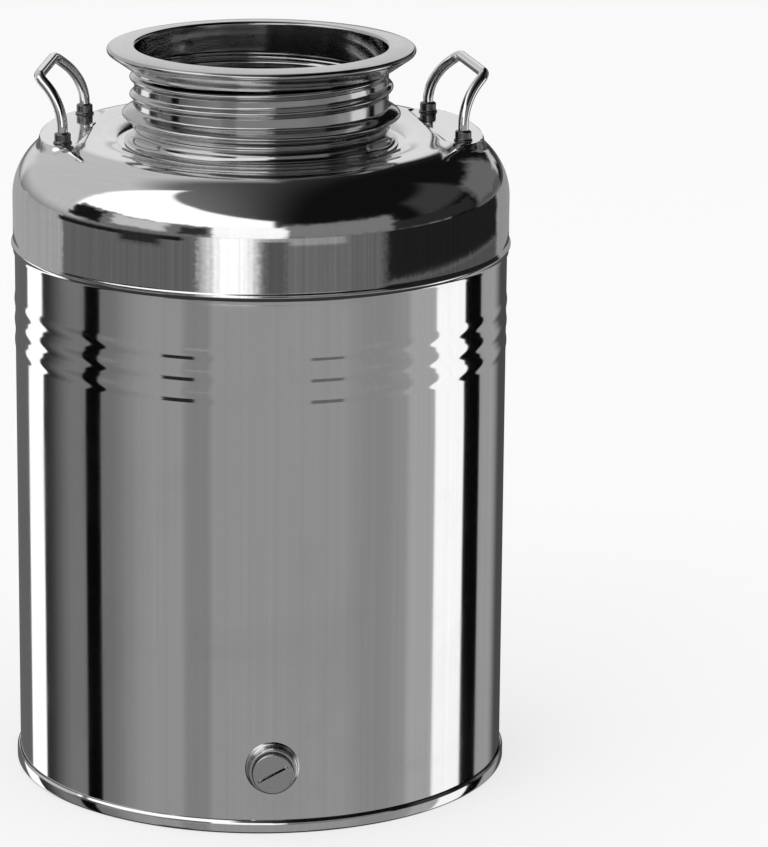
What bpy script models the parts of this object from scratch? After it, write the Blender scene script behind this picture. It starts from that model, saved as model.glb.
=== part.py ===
"""Stainless steel oil container: a seamed cylindrical can with a domed shoulder, a screw neck with a
rolled lip, two rod handles and a threaded outlet low in the wall, closed by a slotted plug.
Metres, +Z up. It stands on z = 0, the middle of its box in plan is the origin, and the outlet faces -Y."""

import math

import bmesh
import bpy
import numpy as np
from mathutils import Matrix, Vector

MM = 0.001

# Sheet, clearances and facets
SHEET = 0.6 * MM
SEAT_GAP = 0.3 * MM
SLIDE_GAP = 0.4 * MM
BODY_FACETS = 56
NECK_FACETS = 36
SMALL_FACETS = 24
SHARP_ANGLE = 35.0
CUT_MARGIN = 10.0 * MM

# Barrel
BODY_RADIUS = 157.5 * MM
BARREL_TOP = 350.0 * MM
RIB_COUNT = 3
RIB_DROP = 41.4 * MM
RIB_PITCH = 13.5 * MM
RIB_WIDTH = 9.0 * MM
RIB_RISE = 0.8 * MM

# Base pan, rolled round the barrel's lower edge
RIM_HEIGHT = 8.0 * MM
RIM_PROUD = 2.1 * MM
RIM_ROUND = 1.4 * MM
RIM_CHANNEL = 4.6 * MM
FOOT_FLAT = 1.8 * MM
PAN_LIFT = 8.6 * MM
PAN_FILLET = 3.0 * MM
PAN_STEP_RADIUS = 120.0 * MM
PAN_STEP = 1.2 * MM

# Shoulder, its heights taken from the barrel's top
SEAM_DROP = 4.5 * MM
SEAM_WIDTH = 8.0 * MM
SEAM_RISE = 1.2 * MM
SKIRT_LAP = 9.4 * MM
CORNER_RADIUS = 40.0 * MM
CROWN_RISE = 66.0 * MM
DISH_RADIUS = 70.0 * MM
DISH_MARGIN = 4.7 * MM
DISH_EASE = 1.5

# Handle pads, pressed flat into the shoulder
PAD_DROP = 1.2 * MM
PAD_INSET = 38.0 * MM
PAD_DEPTH = 21.0 * MM
PAD_HALF_WIDTH = 60.0 * MM
PAD_BACK = 12.0 * MM
PAD_ROOT_DEPTH = 16.8 * MM
PAD_STEPS = 24

# Neck, its heights taken from its seat, which lies this far below the dish
NECK_SINK = 1.090046 * MM
NECK_WALL_RADIUS = 80.8 * MM
NECK_FOOT_RADIUS = 87.3 * MM
NECK_FOOT_FILLET = 6.0 * MM
RIDGE_LIFT = 10.3 * MM
RIDGE_RISE = 1.0 * MM
RIDGE_WIDTH = 3.6 * MM
BEAD_LIFT = 18.5 * MM
BEAD_RISE = 7.8 * MM
BEAD_WIDTH = 12.0 * MM
THREAD_LIFT = 25.3 * MM
THREAD_PITCH = 11.0 * MM
THREAD_TURNS = 2.0
THREAD_RISE = 3.0 * MM
THREAD_WIDTH = 7.4 * MM
THREAD_RUNOUT = 0.12
THREAD_ROWS = 10
NECK_HEIGHT = 62.3 * MM

# Lip, rolled out over the mouth's edge and back in under itself
LIP_RADIUS = 98.1 * MM
LIP_BEND = 1.4 * MM
LIP_FLAT = 8.0 * MM
LIP_FALL = 1.0 * MM
LIP_CURL = 1.4 * MM
LIP_EDGE_ANGLE = 80.0
LIP_SLOPE = 35.0
LIP_END_GAP = 2.4 * MM

# Handles, which stand a little behind the can's sides
HANDLE_SWING = 9.0
ROD_RADIUS = 3.35 * MM
FOOT_APART = 94.0 * MM
FOOT_RISE = 0.5 * MM
GRIP_APART = 74.0 * MM
LEG_BEND_RADIUS = 36.0 * MM
LEG_LEAN = 48.0
LEG_CLOSING = 1.5
GRIP_LEAD = 8.0 * MM
GRIP_BEND_RADIUS = 6.4 * MM
LEG_STEPS = 7
BEND_STEPS = 4

# Ferrules that hold the handles' feet
FERRULE_RADIUS = 5.2 * MM
FERRULE_FLARE = 0.8 * MM
FERRULE_HEIGHT = 6.2 * MM
FERRULE_FLOOR = 0.8 * MM
FERRULE_CHAMFER = 0.7 * MM

# Outlet: socket on the wall, sealing ring and plug
OUTLET_HEIGHT = 43.0 * MM
BORE_RADIUS = 10.6 * MM
SOCKET_RADIUS = 14.6 * MM
SOCKET_CHAMFER = 0.5 * MM
SOCKET_FLARE = 2.4 * MM
SOCKET_FLARE_LIFT = 1.0 * MM
SOCKET_FLARE_TURN = 60.0
SOCKET_REACH = 8.0 * MM
SOCKET_ROOT = 3.0 * MM
GASKET_THICKNESS = 1.5 * MM
GASKET_WIDTH = 2.7 * MM
PLUG_HEAD_RADIUS = 12.8 * MM
PLUG_HEAD_HEIGHT = 2.4 * MM
PLUG_CHAMFER = 0.6 * MM
SHANK_CLEARANCE = 0.35 * MM
SHANK_LENGTH = 10.4 * MM
SLOT_LENGTH = 20.5 * MM
SLOT_WIDTH = 1.9 * MM
SLOT_DEPTH = 1.5 * MM
SLOT_ANGLE = 25.0

# Sizes that follow from the ones above
SHOULDER_RADIUS = BODY_RADIUS + SLIDE_GAP + SHEET
CROWN_RADIUS = SHOULDER_RADIUS - CORNER_RADIUS
CROWN_HEIGHT = BARREL_TOP + CROWN_RISE
DISH_INNER = NECK_FOOT_RADIUS + DISH_MARGIN
DISH_ANGLE = math.asin((CROWN_RADIUS - DISH_INNER) / DISH_RADIUS)
DISH_DEPTH = DISH_RADIUS * (1.0 - math.cos(DISH_ANGLE))
NECK_SEAT = CROWN_HEIGHT - DISH_DEPTH - NECK_SINK
PAD_HEIGHT = CROWN_HEIGHT - PAD_DROP
PAD_ROOT = PAD_HEIGHT - PAD_ROOT_DEPTH
PAD_CENTRE = SHOULDER_RADIUS - PAD_INSET
PAD_CHORD = PAD_CENTRE - PAD_BACK
FOOT_OUT = PAD_CENTRE
LIP_TOP = NECK_SEAT + NECK_HEIGHT
THREAD_START = NECK_SEAT + THREAD_LIFT
NECK_HOLE_RADIUS = NECK_WALL_RADIUS - SHEET
NECK_FOOT_TOP = NECK_SEAT + SEAT_GAP + SHEET
RIM_RADIUS = BODY_RADIUS + RIM_PROUD
FERRULE_BORE = ROD_RADIUS + SEAT_GAP
FERRULE_BASE = PAD_HEIGHT + SEAT_GAP
ROD_END = FERRULE_BASE + FERRULE_FLOOR + SEAT_GAP
SHANK_RADIUS = BORE_RADIUS - SHANK_CLEARANCE
GASKET_INNER = BORE_RADIUS
GASKET_BACK = SOCKET_REACH + SEAT_GAP
PLUG_HEAD_BACK = GASKET_BACK + GASKET_THICKNESS + SEAT_GAP
PLUG_FACE = PLUG_HEAD_BACK + PLUG_HEAD_HEIGHT
AXIS_OFFSET = ((BODY_RADIUS + PLUG_FACE) - (SHOULDER_RADIUS + SEAM_RISE)) / 2


def clear_scene():
    """Removes whatever the file starts with."""
    for obj in list(bpy.data.objects):
        bpy.data.objects.remove(obj)


def new_collection(name):
    collection = bpy.data.collections.new(name)
    bpy.context.scene.collection.children.link(collection)
    return collection


def new_material(name, colour, roughness, metallic):
    material = bpy.data.materials.new(name)
    material.use_nodes = True
    shader = material.node_tree.nodes["Principled BSDF"]
    shader.inputs["Base Color"].default_value = (*colour, 1.0)
    shader.inputs["Roughness"].default_value = roughness
    shader.inputs["Metallic"].default_value = metallic
    return material


clear_scene()
PARTS = new_collection("oil_container")
CUTTERS = new_collection("cutters")


def add_object(name, mesh, material=None, collection=PARTS):
    obj = bpy.data.objects.new(name, mesh)
    collection.objects.link(obj)
    if material:
        mesh.materials.append(material)
    if collection is CUTTERS:
        obj.hide_render = True
        obj.display_type = "WIRE"
    return obj


def arc(centre, radius, start, end, steps):
    """Points of an arc in the profile plane (radius, height), from start to end in degrees."""
    angles = np.radians(np.linspace(start, end, steps + 1))
    return [(centre[0] + radius * math.cos(a), centre[1] + radius * math.sin(a)) for a in angles]


def bump(height, width, rise, radius, steps):
    """Points of a raised bead on a wall of this radius, from its upper edge to its lower one."""
    offsets = np.linspace(0.5, -0.5, steps + 1)
    return [(radius + rise * math.cos(math.pi * s) ** 2, height + s * width) for s in offsets]


def profile_mesh(name, points, closed=False):
    """A wire of edges in the XZ plane, for a Screw modifier to turn."""
    edges = [(i, i + 1) for i in range(len(points) - 1)]
    if closed:
        edges.append((len(points) - 1, 0))
    mesh = bpy.data.meshes.new(name)
    mesh.from_pydata([(r, 0.0, z) for r, z in points], edges, [])
    return mesh


def turned(name, points, facets, material=None, closed=False, collection=PARTS):
    """Turns a profile round Z. The profile runs down its outer side."""
    obj = add_object(name, profile_mesh(name, points, closed), material, collection)
    screw = obj.modifiers.new("turn", "SCREW")
    screw.steps = facets
    screw.render_steps = facets
    screw.use_merge_vertices = True
    screw.merge_threshold = 0.00005
    screw.use_smooth_shade = True
    return obj


def thicken(obj):
    """Makes an open sheet a wall. The outer face stays where the profile put it."""
    solidify = obj.modifiers.new("sheet", "SOLIDIFY")
    solidify.thickness = SHEET
    solidify.offset = -1.0
    solidify.use_even_offset = True
    return obj


def combine(obj, other, operation):
    boolean = obj.modifiers.new(operation.lower(), "BOOLEAN")
    boolean.operation = operation
    boolean.object = other
    return obj


def baked(obj):
    """Replaces an object's modifiers with the mesh that they make."""
    bpy.context.view_layer.update()
    evaluated = obj.evaluated_get(bpy.context.evaluated_depsgraph_get())
    mesh = bpy.data.meshes.new_from_object(evaluated)
    obj.modifiers.clear()
    obj.data = mesh
    return obj


def smooth(obj):
    obj.data.shade_smooth()
    obj.data.set_sharp_from_angle(angle=math.radians(SHARP_ANGLE))
    return obj


def inward_offset(points, distance):
    """The profile moved to its inner side by a wall's thickness, with mitred corners."""
    path = np.array(points)
    steps = np.diff(path, axis=0)
    steps /= np.linalg.norm(steps, axis=1)[:, None]
    normals = np.stack([steps[:, 1], -steps[:, 0]], axis=1)
    before = np.vstack([normals[:1], normals])
    after = np.vstack([normals, normals[-1:]])
    mitre = before + after
    mitre *= 2.0 / (mitre * mitre).sum(axis=1)[:, None]
    return [tuple(p) for p in path + distance * mitre]


def handle_turn(side):
    """The turn about the can's axis that carries a handle and its pad from the side towards the back."""
    return Matrix.Rotation(side * math.radians(HANDLE_SWING), 3, "Z")


def pad_outline(side, grow):
    """Half-moon outline of a handle pad: an ellipse cut by a chord on the neck's side."""
    cut = math.acos((PAD_CHORD - PAD_CENTRE) / PAD_DEPTH)
    angles = np.linspace(-cut, cut, PAD_STEPS + 1)
    x = PAD_CENTRE + (PAD_DEPTH + grow) * np.cos(angles)
    y = (PAD_HALF_WIDTH + grow) * np.sin(angles)
    x = np.maximum(x, PAD_CHORD - grow)
    turn = handle_turn(side)
    return [tuple((turn @ Vector((side * px, side * py, 0.0))).xy) for px, py in zip(x, y)]


def prism(name, outline, bottom, top):
    """A cutter or filler: an outline in the XY plane carried from bottom to top."""
    shape = bmesh.new()
    face = shape.faces.new([shape.verts.new((x, y, bottom)) for x, y in outline])
    made = bmesh.ops.extrude_face_region(shape, geom=[face])
    lifted = [v for v in made["geom"] if isinstance(v, bmesh.types.BMVert)]
    bmesh.ops.translate(shape, verts=lifted, vec=(0.0, 0.0, top - bottom))
    bmesh.ops.recalc_face_normals(shape, faces=shape.faces)
    mesh = bpy.data.meshes.new(name)
    shape.to_mesh(mesh)
    shape.free()
    return add_object(name, mesh, collection=CUTTERS)


def cylinder_cutter(name, radius, length, facets, matrix):
    shape = bmesh.new()
    bmesh.ops.create_cone(
        shape, cap_ends=True, segments=facets, radius1=radius, radius2=radius, depth=length, matrix=matrix
    )
    mesh = bpy.data.meshes.new(name)
    shape.to_mesh(mesh)
    shape.free()
    return add_object(name, mesh, collection=CUTTERS)


def outlet_matrix():
    """Stands on the wall at the outlet, with Z along the outlet's axis, pointing out."""
    return Matrix.Translation((0.0, -BODY_RADIUS, OUTLET_HEIGHT)) @ Matrix.Rotation(math.pi / 2, 4, "X")


def make_barrel(steel):
    """Rolled sheet with three stiffening ribs under the shoulder seam and a hole at the outlet."""
    points = [(BODY_RADIUS, BARREL_TOP)]
    for rib in range(RIB_COUNT):
        points += bump(BARREL_TOP - RIB_DROP - rib * RIB_PITCH, RIB_WIDTH, RIB_RISE, BODY_RADIUS, 4)
    points.append((BODY_RADIUS, SHEET + SEAT_GAP))
    barrel = thicken(turned("barrel", points, BODY_FACETS, steel))
    hole = cylinder_cutter("outlet_hole", BORE_RADIUS, 2 * CUT_MARGIN, SMALL_FACETS, outlet_matrix())
    return smooth(baked(combine(barrel, hole, "DIFFERENCE")))


def make_base_pan(steel):
    """Pressed pan whose edge is rolled into a channel that holds the barrel's lower edge."""
    foot_outer = RIM_RADIUS - RIM_ROUND
    foot_inner = foot_outer - FOOT_FLAT
    wall = RIM_RADIUS - RIM_CHANNEL
    points = [(SHOULDER_RADIUS, RIM_HEIGHT + SEAT_GAP)]
    points.append((RIM_RADIUS, RIM_HEIGHT - RIM_ROUND))
    points += arc((foot_outer, RIM_ROUND), RIM_ROUND, 0.0, -90.0, 2)
    points += arc((foot_inner, foot_inner - wall), foot_inner - wall, -90.0, -180.0, 2)
    points += arc((wall - PAN_FILLET, PAN_LIFT - PAN_FILLET), PAN_FILLET, 0.0, 90.0, 2)
    points.append((PAN_STEP_RADIUS, PAN_LIFT))
    points.append((PAN_STEP_RADIUS - 2 * PAN_STEP, PAN_LIFT - PAN_STEP))
    points.append((0.0, PAN_LIFT - PAN_STEP))
    return smooth(baked(thicken(turned("base_pan", points, BODY_FACETS, steel))))


def shoulder_profile():
    """From the neck's seat over the crown and down to the skirt that laps the barrel."""
    points = [(NECK_HOLE_RADIUS, NECK_SEAT), (DISH_INNER - DISH_EASE * NECK_SINK, NECK_SEAT)]
    dish_end = 90.0 + math.degrees(DISH_ANGLE)
    points += arc((CROWN_RADIUS, CROWN_HEIGHT - DISH_RADIUS), DISH_RADIUS, dish_end, 90.0, 3)
    points += arc((CROWN_RADIUS, CROWN_HEIGHT - CORNER_RADIUS), CORNER_RADIUS, 90.0, 0.0, 6)[1:]
    points += bump(BARREL_TOP - SEAM_DROP, SEAM_WIDTH, SEAM_RISE, SHOULDER_RADIUS, 4)
    points.append((SHOULDER_RADIUS, BARREL_TOP - SKIRT_LAP))
    return points


def filled(name, points, grow, material=None, collection=CUTTERS):
    """The shoulder as a solid form, with each handle pad levelled to the pad height."""
    closed = [(0.0, points[0][1])] + points + [(0.0, points[-1][1])]
    form = turned(name, closed, BODY_FACETS, material, collection=collection)
    top = PAD_HEIGHT + grow
    for side, word in ((1, "right"), (-1, "left")):
        above = prism(f"{name}_pad_cut_{word}", pad_outline(side, -grow), top, CROWN_HEIGHT + CUT_MARGIN)
        below = prism(f"{name}_pad_fill_{word}", pad_outline(side, grow), PAD_ROOT, top)
        combine(form, above, "DIFFERENCE")
        combine(form, below, "UNION")
    return form


def make_shoulder(steel):
    """Domed sheet with a seam bead at its skirt, a dished seat for the neck and two handle pads."""
    outer = shoulder_profile()
    inner = inward_offset(outer, SHEET)
    inner.append((inner[-1][0], inner[-1][1] - CUT_MARGIN))
    shoulder = filled("shoulder", outer, 0.0, steel, PARTS)
    hollow = filled("shoulder_hollow", inner, -SHEET)
    mouth = cylinder_cutter(
        "neck_hole", NECK_HOLE_RADIUS, 4 * CUT_MARGIN, NECK_FACETS, Matrix.Translation((0.0, 0.0, NECK_SEAT))
    )
    combine(shoulder, hollow, "DIFFERENCE")
    combine(shoulder, mouth, "DIFFERENCE")
    return smooth(baked(shoulder))


def lip_profile():
    """From the lip's end under itself, out and up to its edge, over its flat top and into the neck's wall."""
    under_top = LIP_TOP - SHEET
    curl = (LIP_RADIUS - SHEET - LIP_CURL, under_top - LIP_FALL - LIP_CURL)
    bend = (NECK_WALL_RADIUS + LIP_BEND, under_top - LIP_BEND)
    edge = arc(curl, LIP_CURL, LIP_SLOPE - 90.0, LIP_EDGE_ANGLE, 3)
    end_radius = NECK_WALL_RADIUS + LIP_END_GAP
    drop = (edge[0][0] - end_radius) * math.tan(math.radians(LIP_SLOPE))
    points = [(end_radius, edge[0][1] - drop)] + edge
    points.append((bend[0] + LIP_FLAT, under_top))
    return points + arc(bend, LIP_BEND, 90.0, 180.0, 2)


def neck_profile():
    """From the lip down the outside of the wall to the foot."""
    points = lip_profile()
    thread_top = THREAD_START + THREAD_TURNS * THREAD_PITCH
    points += [(NECK_WALL_RADIUS, z) for z in np.linspace(thread_top, THREAD_START, THREAD_ROWS)]
    points += bump(NECK_SEAT + BEAD_LIFT, BEAD_WIDTH, BEAD_RISE, NECK_WALL_RADIUS, 4)
    points += bump(NECK_SEAT + RIDGE_LIFT, RIDGE_WIDTH, RIDGE_RISE, NECK_WALL_RADIUS, 2)
    fillet = (NECK_WALL_RADIUS + NECK_FOOT_FILLET, NECK_FOOT_TOP + NECK_FOOT_FILLET)
    points += arc(fillet, NECK_FOOT_FILLET, 180.0, 270.0, 2)
    points.append((NECK_FOOT_RADIUS, NECK_FOOT_TOP))
    return points


def roll_thread(mesh):
    """Pushes a right-hand helical bead out of the neck's wall, faded at both ends."""
    places = np.empty(len(mesh.vertices) * 3)
    mesh.vertices.foreach_get("co", places)
    places = places.reshape(-1, 3)
    radius = np.hypot(places[:, 0], places[:, 1])
    turn = np.arctan2(places[:, 1], places[:, 0]) / (2 * math.pi) % 1.0
    along = (places[:, 2] - THREAD_START) / THREAD_PITCH - turn
    nearest = np.round(along)
    total = nearest + turn
    across = (along - nearest) * THREAD_PITCH / THREAD_WIDTH
    height = np.where(np.abs(across) < 0.5, np.cos(math.pi * across) ** 2, 0.0)
    ends = np.minimum(total, THREAD_TURNS - total) / THREAD_RUNOUT
    rise = THREAD_RISE * height * np.clip(ends, 0.0, 1.0)
    on_wall = np.abs(radius - NECK_WALL_RADIUS) < SLIDE_GAP / 10
    scale = np.where(on_wall, 1.0 + rise / NECK_WALL_RADIUS, 1.0)
    places[:, :2] *= scale[:, None]
    mesh.vertices.foreach_set("co", places.ravel())


def make_neck(steel):
    """Threaded neck: foot, ridge, bead, rolled thread and a lip rolled out and back, in one sheet."""
    neck = baked(turned("neck", neck_profile(), NECK_FACETS, steel))
    roll_thread(neck.data)
    return smooth(baked(thicken(neck)))


def rounded(corners, radius, steps):
    """A path with each inner corner replaced by an arc of this radius."""
    path = [corners[0]]
    for before, corner, after in zip(corners, corners[1:], corners[2:]):
        to_before = (before - corner).normalized()
        to_after = (after - corner).normalized()
        half = to_before.angle(to_after) / 2
        reach = radius / math.tan(half)
        centre = corner + (to_before + to_after).normalized() * radius / math.sin(half)
        start = (corner + to_before * reach - centre).normalized()
        end = (corner + to_after * reach - centre).normalized()
        for i in range(steps + 1):
            path.append(centre + start.slerp(end, i / steps) * radius)
    path.append(corners[-1])
    return path


def leg_path(side, front):
    """One leg's centre line, upright at its foot and leaning out and inwards towards the grip."""
    start = ROD_END + FERRULE_HEIGHT + FOOT_RISE
    lean = np.radians(np.linspace(0.0, LEG_LEAN, LEG_STEPS + 1))
    out = FOOT_OUT + LEG_BEND_RADIUS * (1.0 - np.cos(lean))
    up = start + LEG_BEND_RADIUS * np.sin(lean)
    share = np.linspace(0.0, 1.0, LEG_STEPS + 1) ** LEG_CLOSING
    across = (FOOT_APART + (GRIP_APART - FOOT_APART) * share) / 2
    points = [Vector((side * x, front * y, z)) for x, y, z in zip(out, across, up)]
    return [Vector((side * FOOT_OUT, front * FOOT_APART / 2, ROD_END))] + points


def make_handle(name, side, steel):
    """Bent rod: two legs and a straight grip between tight bends."""
    near = leg_path(side, -1)
    far = leg_path(side, 1)
    lead = (near[-1] - near[-2]).normalized() * GRIP_LEAD
    top_near = near[-1] + lead
    top_far = far[-1] + Vector((lead.x, -lead.y, lead.z))
    corners = rounded([near[-1], top_near, top_far, far[-1]], GRIP_BEND_RADIUS, BEND_STEPS)
    turn = handle_turn(side)
    path = [turn @ place for place in near[:-1] + corners + far[-2::-1]]
    curve = bpy.data.curves.new(name, "CURVE")
    curve.dimensions = "3D"
    curve.bevel_depth = ROD_RADIUS
    curve.bevel_resolution = 2
    curve.use_fill_caps = True
    spline = curve.splines.new("POLY")
    spline.points.add(len(path) - 1)
    for point, place in zip(spline.points, path):
        point.co = (*place, 1.0)
    curve.materials.append(steel)
    handle = bpy.data.objects.new(name, curve)
    PARTS.objects.link(handle)
    return handle


def make_ferrule(name, side, front, steel):
    """Short collar welded to the pad, with a blind bore for the rod's end."""
    top = FERRULE_HEIGHT
    points = [(0.0, FERRULE_FLOOR), (FERRULE_BORE, FERRULE_FLOOR), (FERRULE_BORE, top)]
    points += [(FERRULE_RADIUS - FERRULE_CHAMFER, top), (FERRULE_RADIUS, top - FERRULE_CHAMFER)]
    points += [(FERRULE_RADIUS, 2 * FERRULE_FLARE), (FERRULE_RADIUS + FERRULE_FLARE, 0.5 * FERRULE_FLARE)]
    points += [(FERRULE_RADIUS + FERRULE_FLARE, 0.0), (0.0, 0.0)]
    ferrule = smooth(baked(turned(name, points, SMALL_FACETS // 2, steel)))
    ferrule.location = handle_turn(side) @ Vector((side * FOOT_OUT, front * FOOT_APART / 2, FERRULE_BASE))
    return ferrule


def make_outlet_socket(steel):
    """Threaded socket welded to the wall, its back cut to the barrel's curve."""
    base = SOCKET_RADIUS + SOCKET_FLARE
    flare_top = SOCKET_FLARE_LIFT + SOCKET_FLARE
    points = [(BORE_RADIUS, SOCKET_REACH), (SOCKET_RADIUS - SOCKET_CHAMFER, SOCKET_REACH)]
    points += [(SOCKET_RADIUS, SOCKET_REACH - SOCKET_CHAMFER)]
    points += arc((base, flare_top), SOCKET_FLARE, 180.0, 180.0 + SOCKET_FLARE_TURN, 2)
    points += [(base, SHEET), (base, -SOCKET_ROOT), (BORE_RADIUS, -SOCKET_ROOT)]
    socket = turned("outlet_socket", points, SMALL_FACETS, steel, closed=True)
    socket.matrix_world = outlet_matrix()
    middle = Matrix.Translation((0.0, 0.0, OUTLET_HEIGHT))
    saddle = cylinder_cutter(
        "barrel_saddle", BODY_RADIUS + SEAT_GAP, 4 * SOCKET_RADIUS, BODY_FACETS, middle
    )
    return smooth(baked(combine(socket, saddle, "DIFFERENCE")))


def make_plug_gasket(rubber):
    """Flat sealing ring between the socket's end and the plug's head."""
    outer = GASKET_INNER + GASKET_WIDTH
    front = GASKET_BACK + GASKET_THICKNESS
    points = [(GASKET_INNER, front), (outer, front), (outer, GASKET_BACK), (GASKET_INNER, GASKET_BACK)]
    gasket = smooth(baked(turned("plug_gasket", points, SMALL_FACETS, rubber, closed=True)))
    gasket.matrix_world = outlet_matrix()
    return gasket


def make_outlet_plug(steel):
    """Slotted screw plug: a flat round head on a shank that fills the socket's bore."""
    end = PLUG_HEAD_BACK - SHANK_LENGTH
    points = [(0.0, PLUG_FACE), (PLUG_HEAD_RADIUS - PLUG_CHAMFER, PLUG_FACE)]
    points += [(PLUG_HEAD_RADIUS, PLUG_FACE - PLUG_CHAMFER), (PLUG_HEAD_RADIUS, PLUG_HEAD_BACK)]
    points += [(SHANK_RADIUS, PLUG_HEAD_BACK), (SHANK_RADIUS, end + PLUG_CHAMFER)]
    points += [(SHANK_RADIUS - PLUG_CHAMFER, end), (0.0, end)]
    plug = turned("outlet_plug", points, SMALL_FACETS, steel)
    plug.matrix_world = outlet_matrix()
    outline = [(-0.5, -0.5), (0.5, -0.5), (0.5, 0.5), (-0.5, 0.5)]
    box = [(x * SLOT_LENGTH, y * SLOT_WIDTH) for x, y in outline]
    slot = prism("slot_cutter", box, PLUG_FACE - SLOT_DEPTH, PLUG_FACE + SLOT_DEPTH)
    slot.matrix_world = outlet_matrix() @ Matrix.Rotation(math.radians(SLOT_ANGLE), 4, "Z")
    return smooth(baked(combine(plug, slot, "DIFFERENCE")))


def centre_in_plan():
    """Stands every piece so that the origin is the middle of the can's box, the outlet plug included."""
    stand = bpy.data.objects.new("stand", None)
    stand.location = (0.0, AXIS_OFFSET, 0.0)
    for obj in PARTS.objects:
        obj.parent = stand
    PARTS.objects.link(stand)


def main():
    sheet_steel = new_material("polished_sheet_steel", (0.62, 0.62, 0.63), 0.10, 1.0)
    neck_steel = new_material("rolled_neck_steel", (0.66, 0.66, 0.67), 0.12, 1.0)
    rod_steel = new_material("rod_steel", (0.64, 0.64, 0.65), 0.14, 1.0)
    ferrule_steel = new_material("weld_dulled_steel", (0.32, 0.32, 0.33), 0.32, 1.0)
    turned_steel = new_material("turned_steel", (0.55, 0.55, 0.56), 0.26, 1.0)
    rubber = new_material("black_rubber", (0.02, 0.02, 0.02), 0.60, 0.0)
    make_barrel(sheet_steel)
    make_base_pan(sheet_steel)
    make_shoulder(sheet_steel)
    make_neck(neck_steel)
    for side, side_word in ((-1, "left"), (1, "right")):
        make_handle(f"handle_{side_word}", side, rod_steel)
        for front, front_word in ((-1, "front"), (1, "rear")):
            make_ferrule(f"ferrule_{side_word}_{front_word}", side, front, ferrule_steel)
    make_outlet_socket(turned_steel)
    make_plug_gasket(rubber)
    make_outlet_plug(turned_steel)
    centre_in_plan()


main()
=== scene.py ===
# %% [markdown]
# # A stainless steel oil can
#
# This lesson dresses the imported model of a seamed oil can. The model is faceted and plain. Here every
# piece gets a fine surface worked out with numpy, and a steel finish made from shader nodes. Polished
# steel has almost no colour of its own: it looks like what stands round it. So the last part of the
# lesson hangs a light tent round the can, with the white and black panels that such a photo needs.

# %% Load the frame
import math

import bpy
import numpy as np
from mathutils import Matrix, Vector


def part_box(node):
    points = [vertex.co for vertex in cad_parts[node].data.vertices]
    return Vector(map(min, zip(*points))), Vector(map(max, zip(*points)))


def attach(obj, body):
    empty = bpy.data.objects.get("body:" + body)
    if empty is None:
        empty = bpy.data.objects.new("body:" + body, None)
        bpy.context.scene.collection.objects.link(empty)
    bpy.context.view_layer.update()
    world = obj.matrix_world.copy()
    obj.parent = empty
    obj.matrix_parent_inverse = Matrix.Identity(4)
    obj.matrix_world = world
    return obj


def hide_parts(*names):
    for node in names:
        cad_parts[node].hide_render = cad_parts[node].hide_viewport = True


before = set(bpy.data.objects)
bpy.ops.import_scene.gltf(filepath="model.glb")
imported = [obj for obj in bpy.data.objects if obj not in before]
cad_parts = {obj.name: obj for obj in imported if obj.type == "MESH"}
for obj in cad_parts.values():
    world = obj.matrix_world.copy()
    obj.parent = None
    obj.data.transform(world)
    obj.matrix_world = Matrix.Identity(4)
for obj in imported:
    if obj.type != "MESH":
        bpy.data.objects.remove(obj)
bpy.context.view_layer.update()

# %% [markdown]
# ## Where the can stands
#
# The outlet plug reaches past the base rim, so the middle of the can's box is not the can's axis. Every
# turned piece is worked out round its own axis first and moved there afterwards, so the axis is read
# from the barrel once, and so are the outlet's height and the barrel's radius.

# %% Axis, outlet and steel sheet
MM = 0.001
SHEET = 0.6 * MM

barrel_low, barrel_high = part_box("barrel")
plug_low, plug_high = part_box("outlet_plug")
CAN_AXIS = np.array([0.0, (barrel_low.y + barrel_high.y) / 2, 0.0])
BARREL_TOP = barrel_high.z
OUTLET_HEIGHT = (plug_low.z + plug_high.z) / 2
BODY_RADIUS = 157.5 * MM
print("axis at y", round(CAN_AXIS[1], 5), "outlet at z", round(OUTLET_HEIGHT, 4))

# %% [markdown]
# ## Grids and pieces
#
# A surface here is a grid of points: rows run along a profile and columns run round the axis. Joining
# the grid is the same job each time, so it has one function. The quads go down the row first and round
# the axis second, which makes a profile that runs down its outer side face outwards.

# %% Join a grid and put it into a mesh
def grid_quads(rows, columns, closed_rows=False):
    """Quads between neighbouring points. Columns always close; rows close where the wall is a loop."""
    row = np.arange(rows if closed_rows else rows - 1)[:, None] * columns
    below = (row + columns) % (rows * columns)
    column = np.arange(columns)[None, :]
    beside = (column + 1) % columns
    return np.stack([row + column, below + column, below + beside, row + beside], axis=-1).reshape(-1, 4)


# An edge that turns by more than this many degrees is shown as an edge
SHARP, SHARP_ROD = 40.0, 60.0


def add_piece(name, points, faces, material, nodes, body="can", sharp=SHARP):
    """Makes a mesh of a piece at its place, hangs it on the body that carries it and hides the nodes it stands
    for.
    """
    mesh = bpy.data.meshes.new(name)
    mesh.from_pydata((points + CAN_AXIS).tolist(), [], [list(face) for face in faces])
    mesh.shade_smooth()
    mesh.set_sharp_from_angle(angle=math.radians(sharp))
    mesh.materials.append(material)
    piece = bpy.data.objects.new(name, mesh)
    bpy.context.scene.collection.objects.link(piece)
    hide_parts(*nodes)
    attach(piece, body)
    print(name, "has", sum(len(face) - 2 for face in faces), "triangles")
    return piece


# %% [markdown]
# ## Profiles
#
# Nearly all of this can is spun or rolled sheet, so a piece is a profile of radius and height carried
# once round the axis. Arcs and raised beads are the two shapes that repeat. A bead follows a squared
# cosine, because that leaves the wall and returns to it without a crease, as rolled metal does.

# %% Arcs, beads and sheet walls
def arc(centre, radius, start, end, steps):
    """Points of an arc in the profile plane: centre plus radius times the cosine and sine of the angle."""
    angles = np.radians(np.linspace(start, end, steps + 1))
    return np.array(centre) + radius * np.stack([np.cos(angles), np.sin(angles)], axis=1)


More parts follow.
